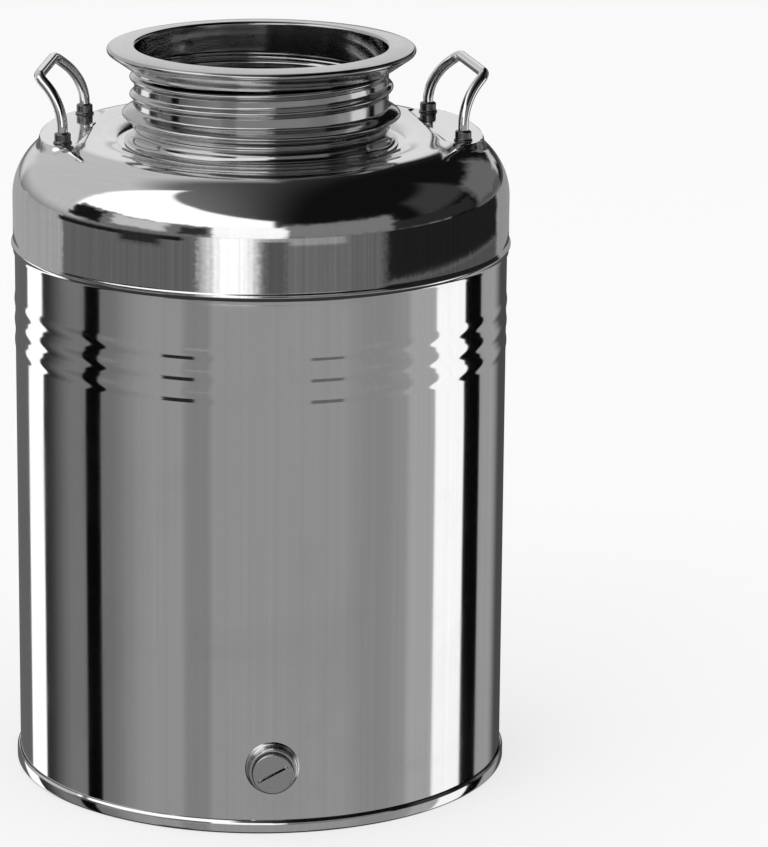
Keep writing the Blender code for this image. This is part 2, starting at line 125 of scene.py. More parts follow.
def bead(height, width, rise, radius, steps):
    """A raised bead on a wall, top to bottom: the radius grows by rise times a squared cosine."""
    across = np.linspace(0.5, -0.5, steps + 1)
    return np.stack([radius + rise * np.cos(np.pi * across) ** 2, height + across * width], axis=1)


def line(start, end, steps=1):
    """Points at equal steps along a straight line."""
    share = np.linspace(0.0, 1.0, steps + 1)[:, None]
    return (1 - share) * np.array(start) + share * np.array(end)


def joined(*runs):
    """One profile from several runs, without the points that two runs share."""
    path = np.concatenate([np.atleast_2d(run) for run in runs])
    apart = np.linalg.norm(np.diff(path, axis=0), axis=1) > 0.002 * MM
    return path[np.concatenate([[True], apart])]


def eased(share):
    """Carries 0 to 1 with level ends: three times the square less twice the cube."""
    return share * share * (3 - 2 * share)


def inner_face(path):
    """The path moved to its inner side by the sheet's thickness, mitred where it turns."""
    steps = np.diff(path, axis=0)
    steps /= np.linalg.norm(steps, axis=1)[:, None]
    normals = np.stack([steps[:, 1], -steps[:, 0]], axis=1)
    mitre = np.vstack([normals[:1], normals]) + np.vstack([normals, normals[-1:]])
    mitre *= 2.0 / (mitre * mitre).sum(axis=1)[:, None]
    return path + SHEET * mitre


def with_thickness(outer_face):
    """An outer face and the inner face one sheet inside it, joined into one closed loop of rows."""
    return np.vstack([outer_face, inner_face(outer_face)[::-1]])


def lathe(profile, angles, closed=False, reshape=None):
    """Carries a profile round Z: x is r cos t, y is r sin t. A profile that ends on the axis gets a pole."""
    top, bottom = profile[0, 0] < 1e-6, profile[-1, 0] < 1e-6
    ring = profile[int(top):len(profile) - int(bottom)]
    radius, turn = ring[:, :1], angles[None, :]
    height = np.broadcast_to(ring[:, 1:], (len(ring), len(angles)))
    grid = np.stack([radius * np.cos(turn), radius * np.sin(turn), height], axis=-1)
    if reshape:
        grid = reshape(grid)
    points = grid.reshape(-1, 3)
    faces = grid_quads(len(ring), len(angles), closed).tolist()
    here = np.arange(len(angles))
    beside = (here + 1) % len(angles)
    if top:
        faces += np.stack([np.full_like(here, len(points)), here, beside], axis=1).tolist()
        points = np.vstack([points, [0.0, 0.0, profile[0, 1]]])
    if bottom:
        last = (len(ring) - 1) * len(angles)
        faces += np.stack([np.full_like(here, len(points)), last + beside, last + here], axis=1).tolist()
        points = np.vstack([points, [0.0, 0.0, profile[-1, 1]]])
    return points, faces


def round_angles(columns):
    """Equal angles once round the axis, one of them straight at the front."""
    return np.linspace(0.0, 2 * np.pi, columns, endpoint=False) - np.pi / 2


BODY_TURN = round_angles(256)
print("body columns are", round(2 * math.pi * BODY_RADIUS / MM / len(BODY_TURN), 2), "mm apart")

# %% [markdown]
# ## Shader groups
#
# The finishes share a few effects. Each is one node group with named inputs, built once: lines left by
# rolling or spinning, faint waves in the sheet, smudges from hands, and hairline scratches. A group only
# puts out values, and each material feeds them to its own Principled shader.

# %% Small helpers for node trees
def node(tree, kind, **settings):
    """Adds a node. Settings that are inputs are set on the sockets, the others on the node."""
    made = tree.nodes.new(kind)
    for name, value in settings.items():
        if hasattr(made, name):
            setattr(made, name, value)
        else:
            made.inputs[name.replace("_", " ").title()].default_value = value
    return made


def math_node(tree, operation, *values):
    """A Math node whose inputs are numbers or the sockets that feed them."""
    made = tree.nodes.new("ShaderNodeMath")
    made.operation = operation
    for socket, value in zip(made.inputs, values):
        if isinstance(value, (int, float)):
            socket.default_value = value
        else:
            tree.links.new(value, socket)
    return made.outputs[0]


def map_range(tree, value, low, high, to_low=0.0, to_high=1.0, smooth=False):
    """Carries a value from one range to another, clamped, straight or with eased ends."""
    made = tree.nodes.new("ShaderNodeMapRange")
    made.interpolation_type = "SMOOTHSTEP" if smooth else "LINEAR"
    for socket, number in zip(made.inputs, (value, low, high, to_low, to_high)):
        if isinstance(number, (int, float)):
            socket.default_value = number
        else:
            tree.links.new(number, socket)
    return made.outputs["Result"]


def noise(tree, vector, scale, detail=2.0, rough=0.5):
    """A noise value over a vector."""
    made = node(tree, "ShaderNodeTexNoise", scale=scale, detail=detail, roughness=rough)
    tree.links.new(vector, made.inputs["Vector"])
    return made.outputs[0]


def group(name, inputs, outputs):
    """A shader node group with float or vector inputs and float outputs."""
    tree = bpy.data.node_groups.new(name, "ShaderNodeTree")
    for title, kind, value in inputs:
        socket = tree.interface.new_socket(title, in_out="INPUT", socket_type=kind)
        if value is not None:
            socket.default_value = value
    for title in outputs:
        tree.interface.new_socket(title, in_out="OUTPUT", socket_type="NodeSocketFloat")
    return tree, tree.nodes.new("NodeGroupInput").outputs, tree.nodes.new("NodeGroupOutput").inputs


def use(tree, made_group, vector, **values):
    """Places a group in a material with its own values."""
    made = tree.nodes.new("ShaderNodeGroup")
    made.node_tree = made_group
    tree.links.new(vector, made.inputs["Vector"])
    for title, value in values.items():
        made.inputs[title.replace("_", " ").title()].default_value = value
    return made.outputs


# %% [markdown]
# Rolled sheet keeps faint lines along the rolling direction, which stands upright on the barrel. Spun
# pieces have lines that run round their axis. Both are noise over squeezed coordinates: squeezing the
# height gives upright streaks, and using only radius and height gives rings.

# %% Upright streaks and turned rings
FLOAT, VECTOR = "NodeSocketFloat", "NodeSocketVector"


def make_streaks():
    """Noise whose height coordinate is squeezed, so that each grain is a long upright line."""
    tree, given, out = group("upright_streaks", [("Vector", VECTOR, None), ("Density", FLOAT, 500.0)], ["Lines"])
    squeeze = node(tree, "ShaderNodeVectorMath", operation="MULTIPLY")
    squeeze.inputs[1].default_value = (1.0, 1.0, 0.012)
    tree.links.new(given["Vector"], squeeze.inputs[0])
    fine = node(tree, "ShaderNodeTexNoise", detail=3.0, roughness=0.6)
    tree.links.new(squeeze.outputs[0], fine.inputs["Vector"])
    tree.links.new(given["Density"], fine.inputs["Scale"])
    tree.links.new(fine.outputs[0], out["Lines"])
    return tree


def make_rings():
    """Noise over radius and height only, so that each grain is a ring, broken up a little on its way."""
    tree, given, out = group("turned_rings", [("Vector", VECTOR, None), ("Density", FLOAT, 900.0)], ["Lines"])
    split = node(tree, "ShaderNodeSeparateXYZ")
    tree.links.new(given["Vector"], split.inputs[0])
    square_x = math_node(tree, "MULTIPLY", split.outputs["X"], split.outputs["X"])
    square_y = math_node(tree, "MULTIPLY", split.outputs["Y"], split.outputs["Y"])
    radius = math_node(tree, "SQRT", math_node(tree, "ADD", square_x, square_y))
    breaks = math_node(tree, "MULTIPLY", noise(tree, given["Vector"], 18.0), 0.0012)
    join = node(tree, "ShaderNodeCombineXYZ")
    tree.links.new(radius, join.inputs["X"])
    tree.links.new(split.outputs["Z"], join.inputs["Y"])
    tree.links.new(breaks, join.inputs["Z"])
    fine = node(tree, "ShaderNodeTexNoise", detail=3.0, roughness=0.65)
    tree.links.new(join.outputs[0], fine.inputs["Vector"])
    tree.links.new(given["Density"], fine.inputs["Scale"])
    tree.links.new(fine.outputs[0], out["Lines"])
    return tree


# %% [markdown]
# Handling leaves its own marks. Smudges are soft cloudy patches that dull the polish. Scratches are
# hairlines in many directions, made where a twisted noise passes through its middle value. Waves are
# the slow dents and swells of thin sheet, far too shallow to see except in what the steel reflects.

# %% Smudges, scratches and waves
def make_smudges():
    """Cloudy patches from two noises, one inside the other, pushed apart by a range."""
    tree, given, out = group("smudges", [("Vector", VECTOR, None), ("Size", FLOAT, 12.0)], ["Mask"])
    cloud = node(tree, "ShaderNodeTexNoise", detail=5.0, roughness=0.62, distortion=0.6)
    tree.links.new(given["Vector"], cloud.inputs["Vector"])
    tree.links.new(given["Size"], cloud.inputs["Scale"])
    tree.links.new(map_range(tree, cloud.outputs[0], 0.46, 0.7, smooth=True), out["Mask"])
    return tree


def make_scratches():
    """Hairlines where a stretched, bent noise crosses its middle, kept only in sparse patches."""
    tree, given, out = group("hairline_scratches", [("Vector", VECTOR, None), ("Density", FLOAT, 60.0)], ["Mask"])
    masks = []
    for stretch in ((1.0, 0.25, 0.6), (0.3, 1.0, 1.7)):
        squeeze = node(tree, "ShaderNodeVectorMath", operation="MULTIPLY")
        squeeze.inputs[1].default_value = stretch
        tree.links.new(given["Vector"], squeeze.inputs[0])
        bent = node(tree, "ShaderNodeTexNoise", detail=1.0, distortion=1.4)
        tree.links.new(squeeze.outputs[0], bent.inputs["Vector"])
        tree.links.new(given["Density"], bent.inputs["Scale"])
        away = math_node(tree, "ABSOLUTE", math_node(tree, "SUBTRACT", bent.outputs[0], 0.5))
        masks.append(map_range(tree, away, 0.0, 0.004, 1.0, 0.0))
    patches = map_range(tree, noise(tree, given["Vector"], 35.0), 0.52, 0.66)
    both = math_node(tree, "MAXIMUM", *masks)
    tree.links.new(math_node(tree, "MULTIPLY", both, patches), out["Mask"])
    return tree


def make_waves():
    """Slow swells of the sheet: two noises of a few centimetres, one half as long as the other."""
    tree, given, out = group("sheet_waves", [("Vector", VECTOR, None), ("Size", FLOAT, 14.0)], ["Height"])
    swell = node(tree, "ShaderNodeTexNoise", detail=1.0, roughness=0.4)
    tree.links.new(given["Vector"], swell.inputs["Vector"])
    tree.links.new(given["Size"], swell.inputs["Scale"])
    tree.links.new(swell.outputs[0], out["Height"])
    return tree


streaks, rings, smudges = make_streaks(), make_rings(), make_smudges()
scratches, waves = make_scratches(), make_waves()
print("shader groups:", [tree.name for tree in bpy.data.node_groups])

# %% [markdown]
# ## Steel
#
# All the steel is one recipe with other amounts. The base colour is a neutral grey, because stainless
# steel reflects all colours alike. Roughness rises where lines, smudges and scratches dull the polish.
# Two Bump nodes follow each other: one for the slow waves, one for the fine lines and scratches.

# %% The steel recipe
def new_material(name):
    """A material and its node tree, which starts with a Principled shader."""
    material = bpy.data.materials.new(name)
    material.use_nodes = True
    return material, material.node_tree


def bump(tree, height, distance, before=None):
    """A Bump node for heights of a given distance in metres, on top of the one before it."""
    made = node(tree, "ShaderNodeBump", strength=1.0, distance=distance)
    tree.links.new(height, made.inputs["Height"])
    if before:
        tree.links.new(before, made.inputs["Normal"])
    return made.outputs["Normal"]


def place_vector(tree, centre, turn=(0.0, 0.0, 0.0)):
    """Object coordinates measured from a piece's own axis."""
    coordinates = node(tree, "ShaderNodeTexCoord")
    mapping = node(tree, "ShaderNodeMapping", vector_type="TEXTURE")
    mapping.inputs["Location"].default_value = tuple(centre)
    mapping.inputs["Rotation"].default_value = turn
    tree.links.new(coordinates.outputs["Object"], mapping.inputs["Vector"])
    return mapping.outputs[0]


def grey_mix(tree, mask, plain, marked):
    """A grey between two tones, chosen by a mask. The Mix node's colour sockets are found by their type."""
    mix = node(tree, "ShaderNodeMix", data_type="RGBA")
    first, second = [socket for socket in mix.inputs if socket.type == "RGBA"]
    first.default_value = (plain, plain, plain, 1.0)
    second.default_value = (marked, marked, marked, 1.0)
    tree.links.new(mask, mix.inputs[0])
    return next(socket for socket in mix.outputs if socket.type == "RGBA")


LINE_SHARE, SMUDGE_SHARE, SCRATCH_DEPTH = 0.6, 0.4, 0.5


def steel(name, lines, density, tone, dulled, rough, rough_spread, line_depth, wave_depth, wave_size=14.0,
          centre=CAN_AXIS, turn=(0.0, 0.0, 0.0)):
    """Tone and roughness varied by lines, smudges and scratches, with waves and lines in relief."""
    material, tree = new_material(name)
    shader = tree.nodes["Principled BSDF"]
    shader.inputs["Metallic"].default_value = 1.0
    vector = place_vector(tree, centre, turn)
    fine = use(tree, lines, vector, density=density)["Lines"]
    cloud = use(tree, smudges, vector)["Mask"]
    hair = use(tree, scratches, vector)["Mask"]
    marks = math_node(tree, "MULTIPLY_ADD", fine, LINE_SHARE, math_node(tree, "MULTIPLY", cloud, SMUDGE_SHARE))
    tree.links.new(grey_mix(tree, marks, tone, dulled), shader.inputs["Base Color"])
    dull = math_node(tree, "MAXIMUM", marks, hair)
    tree.links.new(map_range(tree, dull, 0.0, 1.0, rough, rough + rough_spread), shader.inputs["Roughness"])
    swell = use(tree, waves, vector, size=wave_size)["Height"]
    slow = bump(tree, swell, wave_depth)
    relief = math_node(tree, "SUBTRACT", fine, math_node(tree, "MULTIPLY", hair, SCRATCH_DEPTH))
    tree.links.new(bump(tree, relief, line_depth, slow), shader.inputs["Normal"])
    return material


sheet_steel = steel("polished_sheet", streaks, 420.0, 0.84, 0.74, 0.045, 0.06, 0.0000006, 0.00003)
spun_steel = steel("spun_shoulder", rings, 260.0, 0.84, 0.74, 0.05, 0.07, 0.0000008, 0.00006, 22.0)
# The neck's tone and dulled tone are set far below the other sheet's. This is painted shade: a darker base colour
# that stands in for the dark surroundings the neck's wall reflects.
neck_steel_painted_shade = steel("rolled_neck_painted_shade", rings, 700.0, 0.62, 0.44, 0.07, 0.10, 0.0000008, 0.00002)
print("steel finishes:", sheet_steel.name, spun_steel.name, neck_steel_painted_shade.name)

# %% [markdown]
# ## Barrel
#
# The barrel is one rolled sheet, 0.6 mm thick, welded up the back. Three stiffening ribs run round it
# under the shoulder seam. Their flanks face up and down, where they meet other panels of the tent as
# short dark dashes, so they get many rows, while the plain wall needs only a few. The hole behind the
# outlet is cut with a Boolean. The rows above and below it keep the cut's uneven faces under the
# socket's flange.

# %% Barrel profile
RIB_DROP, RIB_PITCH, RIB_WIDTH, RIB_RISE = 41.4 * MM, 13.5 * MM, 11.0 * MM, 0.5 * MM
RIB_COUNT, BARREL_FOOT, PLAIN_TOP = 3, 0.9 * MM, 250.0 * MM
HOLE_RADIUS, HOLE_BAND, DRILL_REACH = 10.6 * MM, 11.5 * MM, 5.0 * MM


def barrel_profile():
    """Outer face from the top edge down: plain wall, three ribs, plain wall with rows at the hole."""
    runs = [(BODY_RADIUS, BARREL_TOP)]
    for rib in range(RIB_COUNT):
        runs.append(bead(BARREL_TOP - RIB_DROP - rib * RIB_PITCH, RIB_WIDTH, RIB_RISE, BODY_RADIUS, 16))
    runs.append(line((BODY_RADIUS, PLAIN_TOP), (BODY_RADIUS, OUTLET_HEIGHT + HOLE_BAND), 8))
    runs.append(line((BODY_RADIUS, OUTLET_HEIGHT - HOLE_BAND), (BODY_RADIUS, BARREL_FOOT), 2))
    return joined(*runs)


def outlet_place(points):
    """Turns a shape made round Z into the outlet's place: its Z points out of the wall, along -Y."""
    x, y, z = points.T
    return np.stack([x, -BODY_RADIUS - z, OUTLET_HEIGHT + y], axis=1)


def cut(piece, points, faces):
    """Takes a closed shape away from a piece and keeps the result as the piece's own mesh."""
    mesh = bpy.data.meshes.new("cutter")
    mesh.from_pydata((points + CAN_AXIS).tolist(), [], [list(face) for face in faces])
    cutter = bpy.data.objects.new("cutter", mesh)
    bpy.context.scene.collection.objects.link(cutter)
    boolean = piece.modifiers.new("cut", "BOOLEAN")
    boolean.operation = "DIFFERENCE"
    boolean.object = cutter
    bpy.context.view_layer.update()
    result = bpy.data.meshes.new_from_object(piece.evaluated_get(bpy.context.evaluated_depsgraph_get()))
    piece.modifiers.clear()
    piece.data = result
    bpy.data.objects.remove(cutter)
    result.set_sharp_from_angle(angle=math.radians(SHARP))


wall = barrel_profile()
points, faces = lathe(with_thickness(wall), BODY_TURN, closed=True)
barrel = add_piece("barrel_sheet", points, faces, sheet_steel, ["barrel"])
drill = joined((0.0, DRILL_REACH), (HOLE_RADIUS, DRILL_REACH), (HOLE_RADIUS, -DRILL_REACH), (0.0, -DRILL_REACH))
points, faces = lathe(drill, round_angles(48))
cut(barrel, outlet_place(points), faces)
print("barrel wall has", len(wall), "rows and", len(barrel.data.polygons), "faces after the cut")

# %% [markdown]
# ## Base pan
#
# The bottom is a pressed pan. Its edge is rolled round the barrel's lower edge, which makes the proud
# rim that the can stands on. Underneath, the pan steps up towards the middle, so that only the rim
# touches the floor.

# %% Base pan
RIM_RADIUS, RIM_ROUND, RIM_SHOULDER, FOOT_INNER = 159.6 * MM, 1.4 * MM, 6.6 * MM, 156.4 * MM
PAN_TOP_RADIUS, RIM_EDGE = 158.5 * MM, 8.3 * MM
RIM_WALL, PAN_LIFT, PAN_FILLET = 155.0 * MM, 8.6 * MM, 3.0 * MM
PAN_STEP_RADIUS, PAN_STEP = 120.0 * MM, 1.2 * MM


def pan_profile():
    """Outer face: from the rim's top edge, round the foot, up the inner wall and in under the pan."""
    shoulder = line((PAN_TOP_RADIUS, RIM_EDGE), (RIM_RADIUS, RIM_SHOULDER), 3)
    foot = joined(
        arc((RIM_RADIUS - RIM_ROUND, RIM_ROUND), RIM_ROUND, 0.0, -90.0, 10),
        arc((FOOT_INNER, FOOT_INNER - RIM_WALL), FOOT_INNER - RIM_WALL, -90.0, -180.0, 8),
    )
    corner = arc((RIM_WALL - PAN_FILLET, PAN_LIFT - PAN_FILLET), PAN_FILLET, 0.0, 90.0, 10)
    wave = 1 - np.cos(np.linspace(0.0, np.pi, 9))
    step, drop = PAN_STEP_RADIUS - PAN_STEP * wave, PAN_LIFT - PAN_STEP / 2 * wave
    middle = line((PAN_STEP_RADIUS - 2 * PAN_STEP, PAN_LIFT - PAN_STEP), (0.0, PAN_LIFT - PAN_STEP), 6)
    return joined(shoulder, foot, corner, np.stack([step, drop], axis=1), middle)


outer = pan_profile()
inner = inner_face(outer)
inner[-1, 0] = 0.0
points, faces = lathe(np.vstack([inner[::-1], outer]), BODY_TURN)
add_piece("base_pan_sheet", points, faces, sheet_steel, ["base_pan"])

# %% [markdown]
# ## Shoulder
#
# The shoulder is pressed from one disc: a skirt that laps the barrel, a seam bead, a tight corner, and
# a crown that dips towards the neck. Two half-moon flats are pressed into the crown as seats for the
# handles, each a little behind the can's side. A flat is not a separate shape here. Each point of the
# crown asks how far inside the half-moon it lies, and eases from the crown's height to the flat's height
# over the press's edge radius. To ask, it is first turned back to where the half-moon is square to X.

# %% Shoulder profile
SHOULDER_RADIUS = 158.5 * MM
SEAM_HEIGHT, SEAM_WIDTH, SEAM_RISE = BARREL_TOP - 4.5 * MM, 6.4 * MM, 1.2 * MM
SKIRT_END = BARREL_TOP - 9.4 * MM
CORNER_RADIUS, CROWN_HEIGHT = 40.0 * MM, BARREL_TOP + 66.0 * MM
CROWN_RADIUS = SHOULDER_RADIUS - CORNER_RADIUS
DISH_RADIUS, DISH_INNER, SEAT_MARGIN = 70.0 * MM, 92.0 * MM, 1.6 * MM
NECK_SEAT = CROWN_HEIGHT - 6.3 * MM
NECK_HOLE = 80.2 * MM

# The corner has more rows above this angle, where the flats reach into it
CORNER_SPLIT = 35.0


def shoulder_profile():
    """Outer face from the neck's seat, over the crown and the corner, down to the skirt's end."""
    dish_angle = math.degrees(math.asin((CROWN_RADIUS - DISH_INNER) / DISH_RADIUS))
    dish = arc((CROWN_RADIUS, CROWN_HEIGHT - DISH_RADIUS), DISH_RADIUS, 90.0 + dish_angle, 90.0, 24)
    seat = line((NECK_HOLE, NECK_SEAT), (DISH_INNER - SEAT_MARGIN, NECK_SEAT), 4)
    corner_centre = (CROWN_RADIUS, CROWN_HEIGHT - CORNER_RADIUS)
    upper = arc(corner_centre, CORNER_RADIUS, 90.0, CORNER_SPLIT, 44)
    lower = arc(corner_centre, CORNER_RADIUS, CORNER_SPLIT, 0.0, 12)
    seam = bead(SEAM_HEIGHT, SEAM_WIDTH, SEAM_RISE, SHOULDER_RADIUS, 14)
    return joined(seat, dish, upper, lower, seam, (SHOULDER_RADIUS, SKIRT_END))


# %% Handle flats pressed into the crown
HANDLE_SWING = 9.0
PAD_HEIGHT, PAD_CENTRE = CROWN_HEIGHT - 1.2 * MM, SHOULDER_RADIUS - 38.0 * MM
PAD_DEPTH, PAD_HALF_WIDTH, PAD_BACK = 21.0 * MM, 60.0 * MM, 12.0 * MM
PAD_EDGE = 2.6 * MM

# Degrees of fine columns each side of a flat's middle, and columns in the four stretches round the can
PAD_REACH, SHOULDER_COLUMNS = 28.0, (150, 76, 150, 104)


def swung(x, y, side):
    """Turns a place about Z, away from the front: x cos a - y sin a and x sin a + y cos a."""
    angle = np.radians(HANDLE_SWING) * side
    return x * np.cos(angle) - y * np.sin(angle), x * np.sin(angle) + y * np.cos(angle)


def inside_pad(x, y):
    """Distance in metres inside the half-moon: an ellipse's level divided by its slope, cut by a chord."""
    x, y = swung(x, y, -np.sign(x))
    across, along = (np.abs(x) - PAD_CENTRE) / PAD_DEPTH, y / PAD_HALF_WIDTH
    level = np.maximum(np.hypot(across, along), 1e-3)
    slope = np.hypot(across / PAD_DEPTH, along / PAD_HALF_WIDTH) / level
    return np.minimum((1.0 - level) / slope, np.abs(x) - (PAD_CENTRE - PAD_BACK))


def press_pads(grid):
    """Eases the crown to the flat's height wherever a point lies inside a half-moon."""
    share = np.clip(inside_pad(grid[..., 0], grid[..., 1]) / PAD_EDGE + 0.5, 0.0, 1.0)
    crown = grid[..., 2] > CROWN_HEIGHT - CORNER_RADIUS
    pressed = grid[..., 2] + (PAD_HEIGHT - grid[..., 2]) * eased(share)
    result = grid.copy()
    result[..., 2] = np.where(crown, pressed, grid[..., 2])
    return result


def shoulder_angles():
    """Angles once round, close together beside the handles and wider at front and back."""
    right, left = HANDLE_SWING, 180.0 - HANDLE_SWING
    stops = [right - PAD_REACH, right + PAD_REACH, left - PAD_REACH, left + PAD_REACH, right - PAD_REACH + 360.0]
    runs = [np.linspace(start, end, count, endpoint=False)
            for start, end, count in zip(stops, stops[1:], SHOULDER_COLUMNS)]
    return np.radians(np.concatenate(runs))


def press_both_faces(grid):
    """Presses the flats into the outer rows, and into the inner rows one sheet lower."""
    rows = len(grid) // 2
    outer_rows, inner_rows = press_pads(grid[:rows]), grid[rows:][::-1].copy()
    inner_rows[..., 2] += outer_rows[..., 2] - grid[:rows][..., 2]
    return np.concatenate([outer_rows, inner_rows[::-1]])


shoulder_loop = with_thickness(shoulder_profile())
points, faces = lathe(shoulder_loop, shoulder_angles(), closed=True, reshape=press_both_faces)
add_piece("shoulder_sheet", points, faces, spun_steel, ["shoulder"])

# %% [markdown]
# ## Neck
#
# The neck is the piece that takes the most skill: one strip of sheet with a foot, a small ridge, a large
# bead, a rolled screw thread and a hollow lip, rolled out over the mouth and back in under itself. The
# thread is a bead whose height climbs by one pitch each turn. Both faces of the sheet move out together,
# so the thread shows inside too. The lip's top falls off outwards as the square of the way across it.

# %% Neck sizes and profile
NECK_WALL, NECK_FOOT, FOOT_FILLET, LAP_GAP = 80.8 * MM, 87.3 * MM, 6.0 * MM, 0.3 * MM
FOOT_TOP = NECK_SEAT + LAP_GAP + SHEET
BEAD_HEIGHT, BEAD_WIDTH, BEAD_RISE = NECK_SEAT + 18.5 * MM, 12.0 * MM, 7.8 * MM
RIDGE_HEIGHT, RIDGE_WIDTH, RIDGE_RISE = NECK_SEAT + 10.3 * MM, 3.6 * MM, 1.0 * MM
LIP_RADIUS, LIP_CURL, LIP_BEND, LIP_TOP = 98.1 * MM, 1.4 * MM, 1.4 * MM, NECK_SEAT + 62.3 * MM
LIP_FALL, LIP_EDGE_ANGLE, LIP_SLOPE, LIP_END_GAP = 1.0 * MM, 80.0, 35.0, 2.4 * MM
THREAD_START, THREAD_PITCH, THREAD_TURNS = NECK_SEAT + 25.3 * MM, 11.0 * MM, 2.0
THREAD_RISE, THREAD_WIDTH, THREAD_RUNOUT = 3.0 * MM, 7.4 * MM, 0.12
ROWS_ABOVE, ROWS_BELOW = 4.0 * MM, 0.5 * MM

# The thread is on the wall alone: past the first distance from it, it fades out over the second
WALL_NEAR, WALL_FADE = 0.2 * MM, 2.0 * MM


def lip_profile():
    """From the lip's end under itself, up to its edge curl, over its convex top and into the wall."""
    under_top = LIP_TOP - SHEET
    curl = (LIP_RADIUS - SHEET - LIP_CURL, under_top - LIP_FALL - LIP_CURL)
    edge = arc(curl, LIP_CURL, LIP_SLOPE - 90.0, LIP_EDGE_ANGLE, 16)
    end_radius = NECK_WALL + LIP_END_GAP
    drop = (edge[0, 0] - end_radius) * math.tan(math.radians(LIP_SLOPE))
    inner_radius, outer_radius = NECK_WALL + LIP_BEND, edge[-1, 0]
    share = np.linspace(1.0, 0.0, 15)
    top = np.stack([inner_radius + (outer_radius - inner_radius) * share,
                    under_top - (under_top - edge[-1, 1]) * share**2], axis=1)
    bend = arc((inner_radius, under_top - LIP_BEND), LIP_BEND, 90.0, 180.0, 10)
    return joined(line((end_radius, edge[0, 1] - drop), edge[0], 8), edge, top, bend)


def neck_profile():
    """From the lip, down the outside of the threaded wall and its beads, to the foot."""
    thread_top = THREAD_START + THREAD_TURNS * THREAD_PITCH
    fillet = (NECK_WALL + FOOT_FILLET, FOOT_TOP + FOOT_FILLET)
    return joined(
        lip_profile(),
        line((NECK_WALL, thread_top + ROWS_ABOVE), (NECK_WALL, THREAD_START - ROWS_BELOW), 42),
        bead(BEAD_HEIGHT, BEAD_WIDTH, BEAD_RISE, NECK_WALL, 22),
        bead(RIDGE_HEIGHT, RIDGE_WIDTH, RIDGE_RISE, NECK_WALL, 8),
        arc(fillet, FOOT_FILLET, 180.0, 270.0, 12),
        (NECK_FOOT, FOOT_TOP),
    )


# %% Roll the thread and build the neck
def roll_thread(grid):
    """Pushes both faces out where the height is near a turn of the helix: pitch times the turns so far."""
    turn = np.arctan2(grid[..., 1], grid[..., 0]) / (2 * np.pi) % 1.0
    along = (grid[..., 2] - THREAD_START) / THREAD_PITCH - turn
    nearest = np.round(along)
    across = np.clip((along - nearest) * THREAD_PITCH / THREAD_WIDTH, -0.5, 0.5)
    ends = np.clip(np.minimum(nearest + turn, THREAD_TURNS - nearest - turn) / THREAD_RUNOUT, 0.0, 1.0)
    radius = np.hypot(grid[..., 0], grid[..., 1])
    on_wall = np.clip(1 - (radius - NECK_WALL - WALL_NEAR) / WALL_FADE, 0.0, 1.0)
    on_wall = np.where(grid[..., 2] > THREAD_START - THREAD_PITCH / 2, on_wall, 0.0)
    rise = THREAD_RISE * np.cos(np.pi * across) ** 2 * eased(ends) * on_wall
    result = grid.copy()
    result[..., :2] *= (1 + rise / radius)[..., None]
    return result


points, faces = lathe(with_thickness(neck_profile()), round_angles(280), closed=True, reshape=roll_thread)
add_piece("neck_sheet", points, faces, neck_steel_painted_shade, ["neck"])

# %% [markdown]
# ## Handles
#
# Each handle is one bent rod. Its legs start upright in their ferrules, lean out over the shoulder and
# close towards each other, and a straight grip joins them between two tight bends. A tube is a circle
# carried along the path. The circle's two directions come from the path's direction and the X axis,
# which the rod never follows, so the tube does not twist.

# %% Handle path and tube
rod_steel = steel("rod", streaks, 300.0, 0.88, 0.76, 0.07, 0.06, 0.0000001, 0.00001)
ROD_RADIUS = 3.35 * MM
ROD_END, LEG_START = 416.2 * MM, 422.9 * MM
FOOT_OUT, FOOT_APART, GRIP_APART = PAD_CENTRE, 94.0 * MM, 74.0 * MM
LEG_BEND, LEG_LEAN, LEG_CLOSING = 36.0 * MM, 48.0, 1.5
GRIP_LEAD, GRIP_BEND = 8.0 * MM, 8.6 * MM
LEG_POINTS, GRIP_STEPS = 41, 14


def unit(vector):
    """The vector divided by its length."""
    return vector / np.linalg.norm(vector)


def bend(before, corner, after, radius, steps):
    """An arc that replaces a corner: it swings from one tangent point to the other round its centre."""
    back, on = unit(before - corner), unit(after - corner)
    half = math.acos(float(np.dot(back, on))) / 2
    centre = corner + unit(back + on) * radius / math.sin(half)
    start, end = (unit(corner + way * radius / math.tan(half) - centre) for way in (back, on))
    swing = math.acos(float(np.dot(start, end)))
    share = np.linspace(0.0, 1.0, steps + 1)[:, None]
    way = np.sin((1 - share) * swing) * start + np.sin(share * swing) * end
    return centre + radius * way / math.sin(swing)


def leg(side, front):
    """One leg: an upright foot, then an arc that leans out while the leg closes towards the other."""
    lean = np.radians(np.linspace(0.0, LEG_LEAN, LEG_POINTS))
    close = np.linspace(0.0, 1.0, LEG_POINTS) ** LEG_CLOSING
    x = FOOT_OUT + LEG_BEND * (1 - np.cos(lean))
    y = (FOOT_APART + (GRIP_APART - FOOT_APART) * close) / 2
    curve = np.stack([side * x, front * y, LEG_START + LEG_BEND * np.sin(lean)], axis=1)
    foot = line((side * FOOT_OUT, front * FOOT_APART / 2, ROD_END), curve[0], 4)[:-1]
    return np.vstack([foot, curve])


def tube(path, radius, sides=36):
    """A circle carried along the path, with a pole at each end."""
    along = np.gradient(path, axis=0)
    along /= np.linalg.norm(along, axis=1)[:, None]
    across = np.cross(along, [1.0, 0.0, 0.0])
    across /= np.linalg.norm(across, axis=1)[:, None]
    other = np.cross(across, along)
    turn = np.linspace(0.0, 2 * np.pi, sides, endpoint=False)[None, :, None]
    grid = path[:, None] + radius * (np.cos(turn) * across[:, None] + np.sin(turn) * other[:, None])
    faces = grid_quads(len(path), sides).tolist()
    here = np.arange(sides)
    beside = (here + 1) % sides
    first, last = len(path) * sides, (len(path) - 1) * sides
    faces += np.stack([np.full_like(here, first), here, beside], axis=1).tolist()
    faces += np.stack([np.full_like(here, first + 1), last + beside, last + here], axis=1).tolist()
    return np.vstack([grid.reshape(-1, 3), path[:1], path[-1:]]), faces


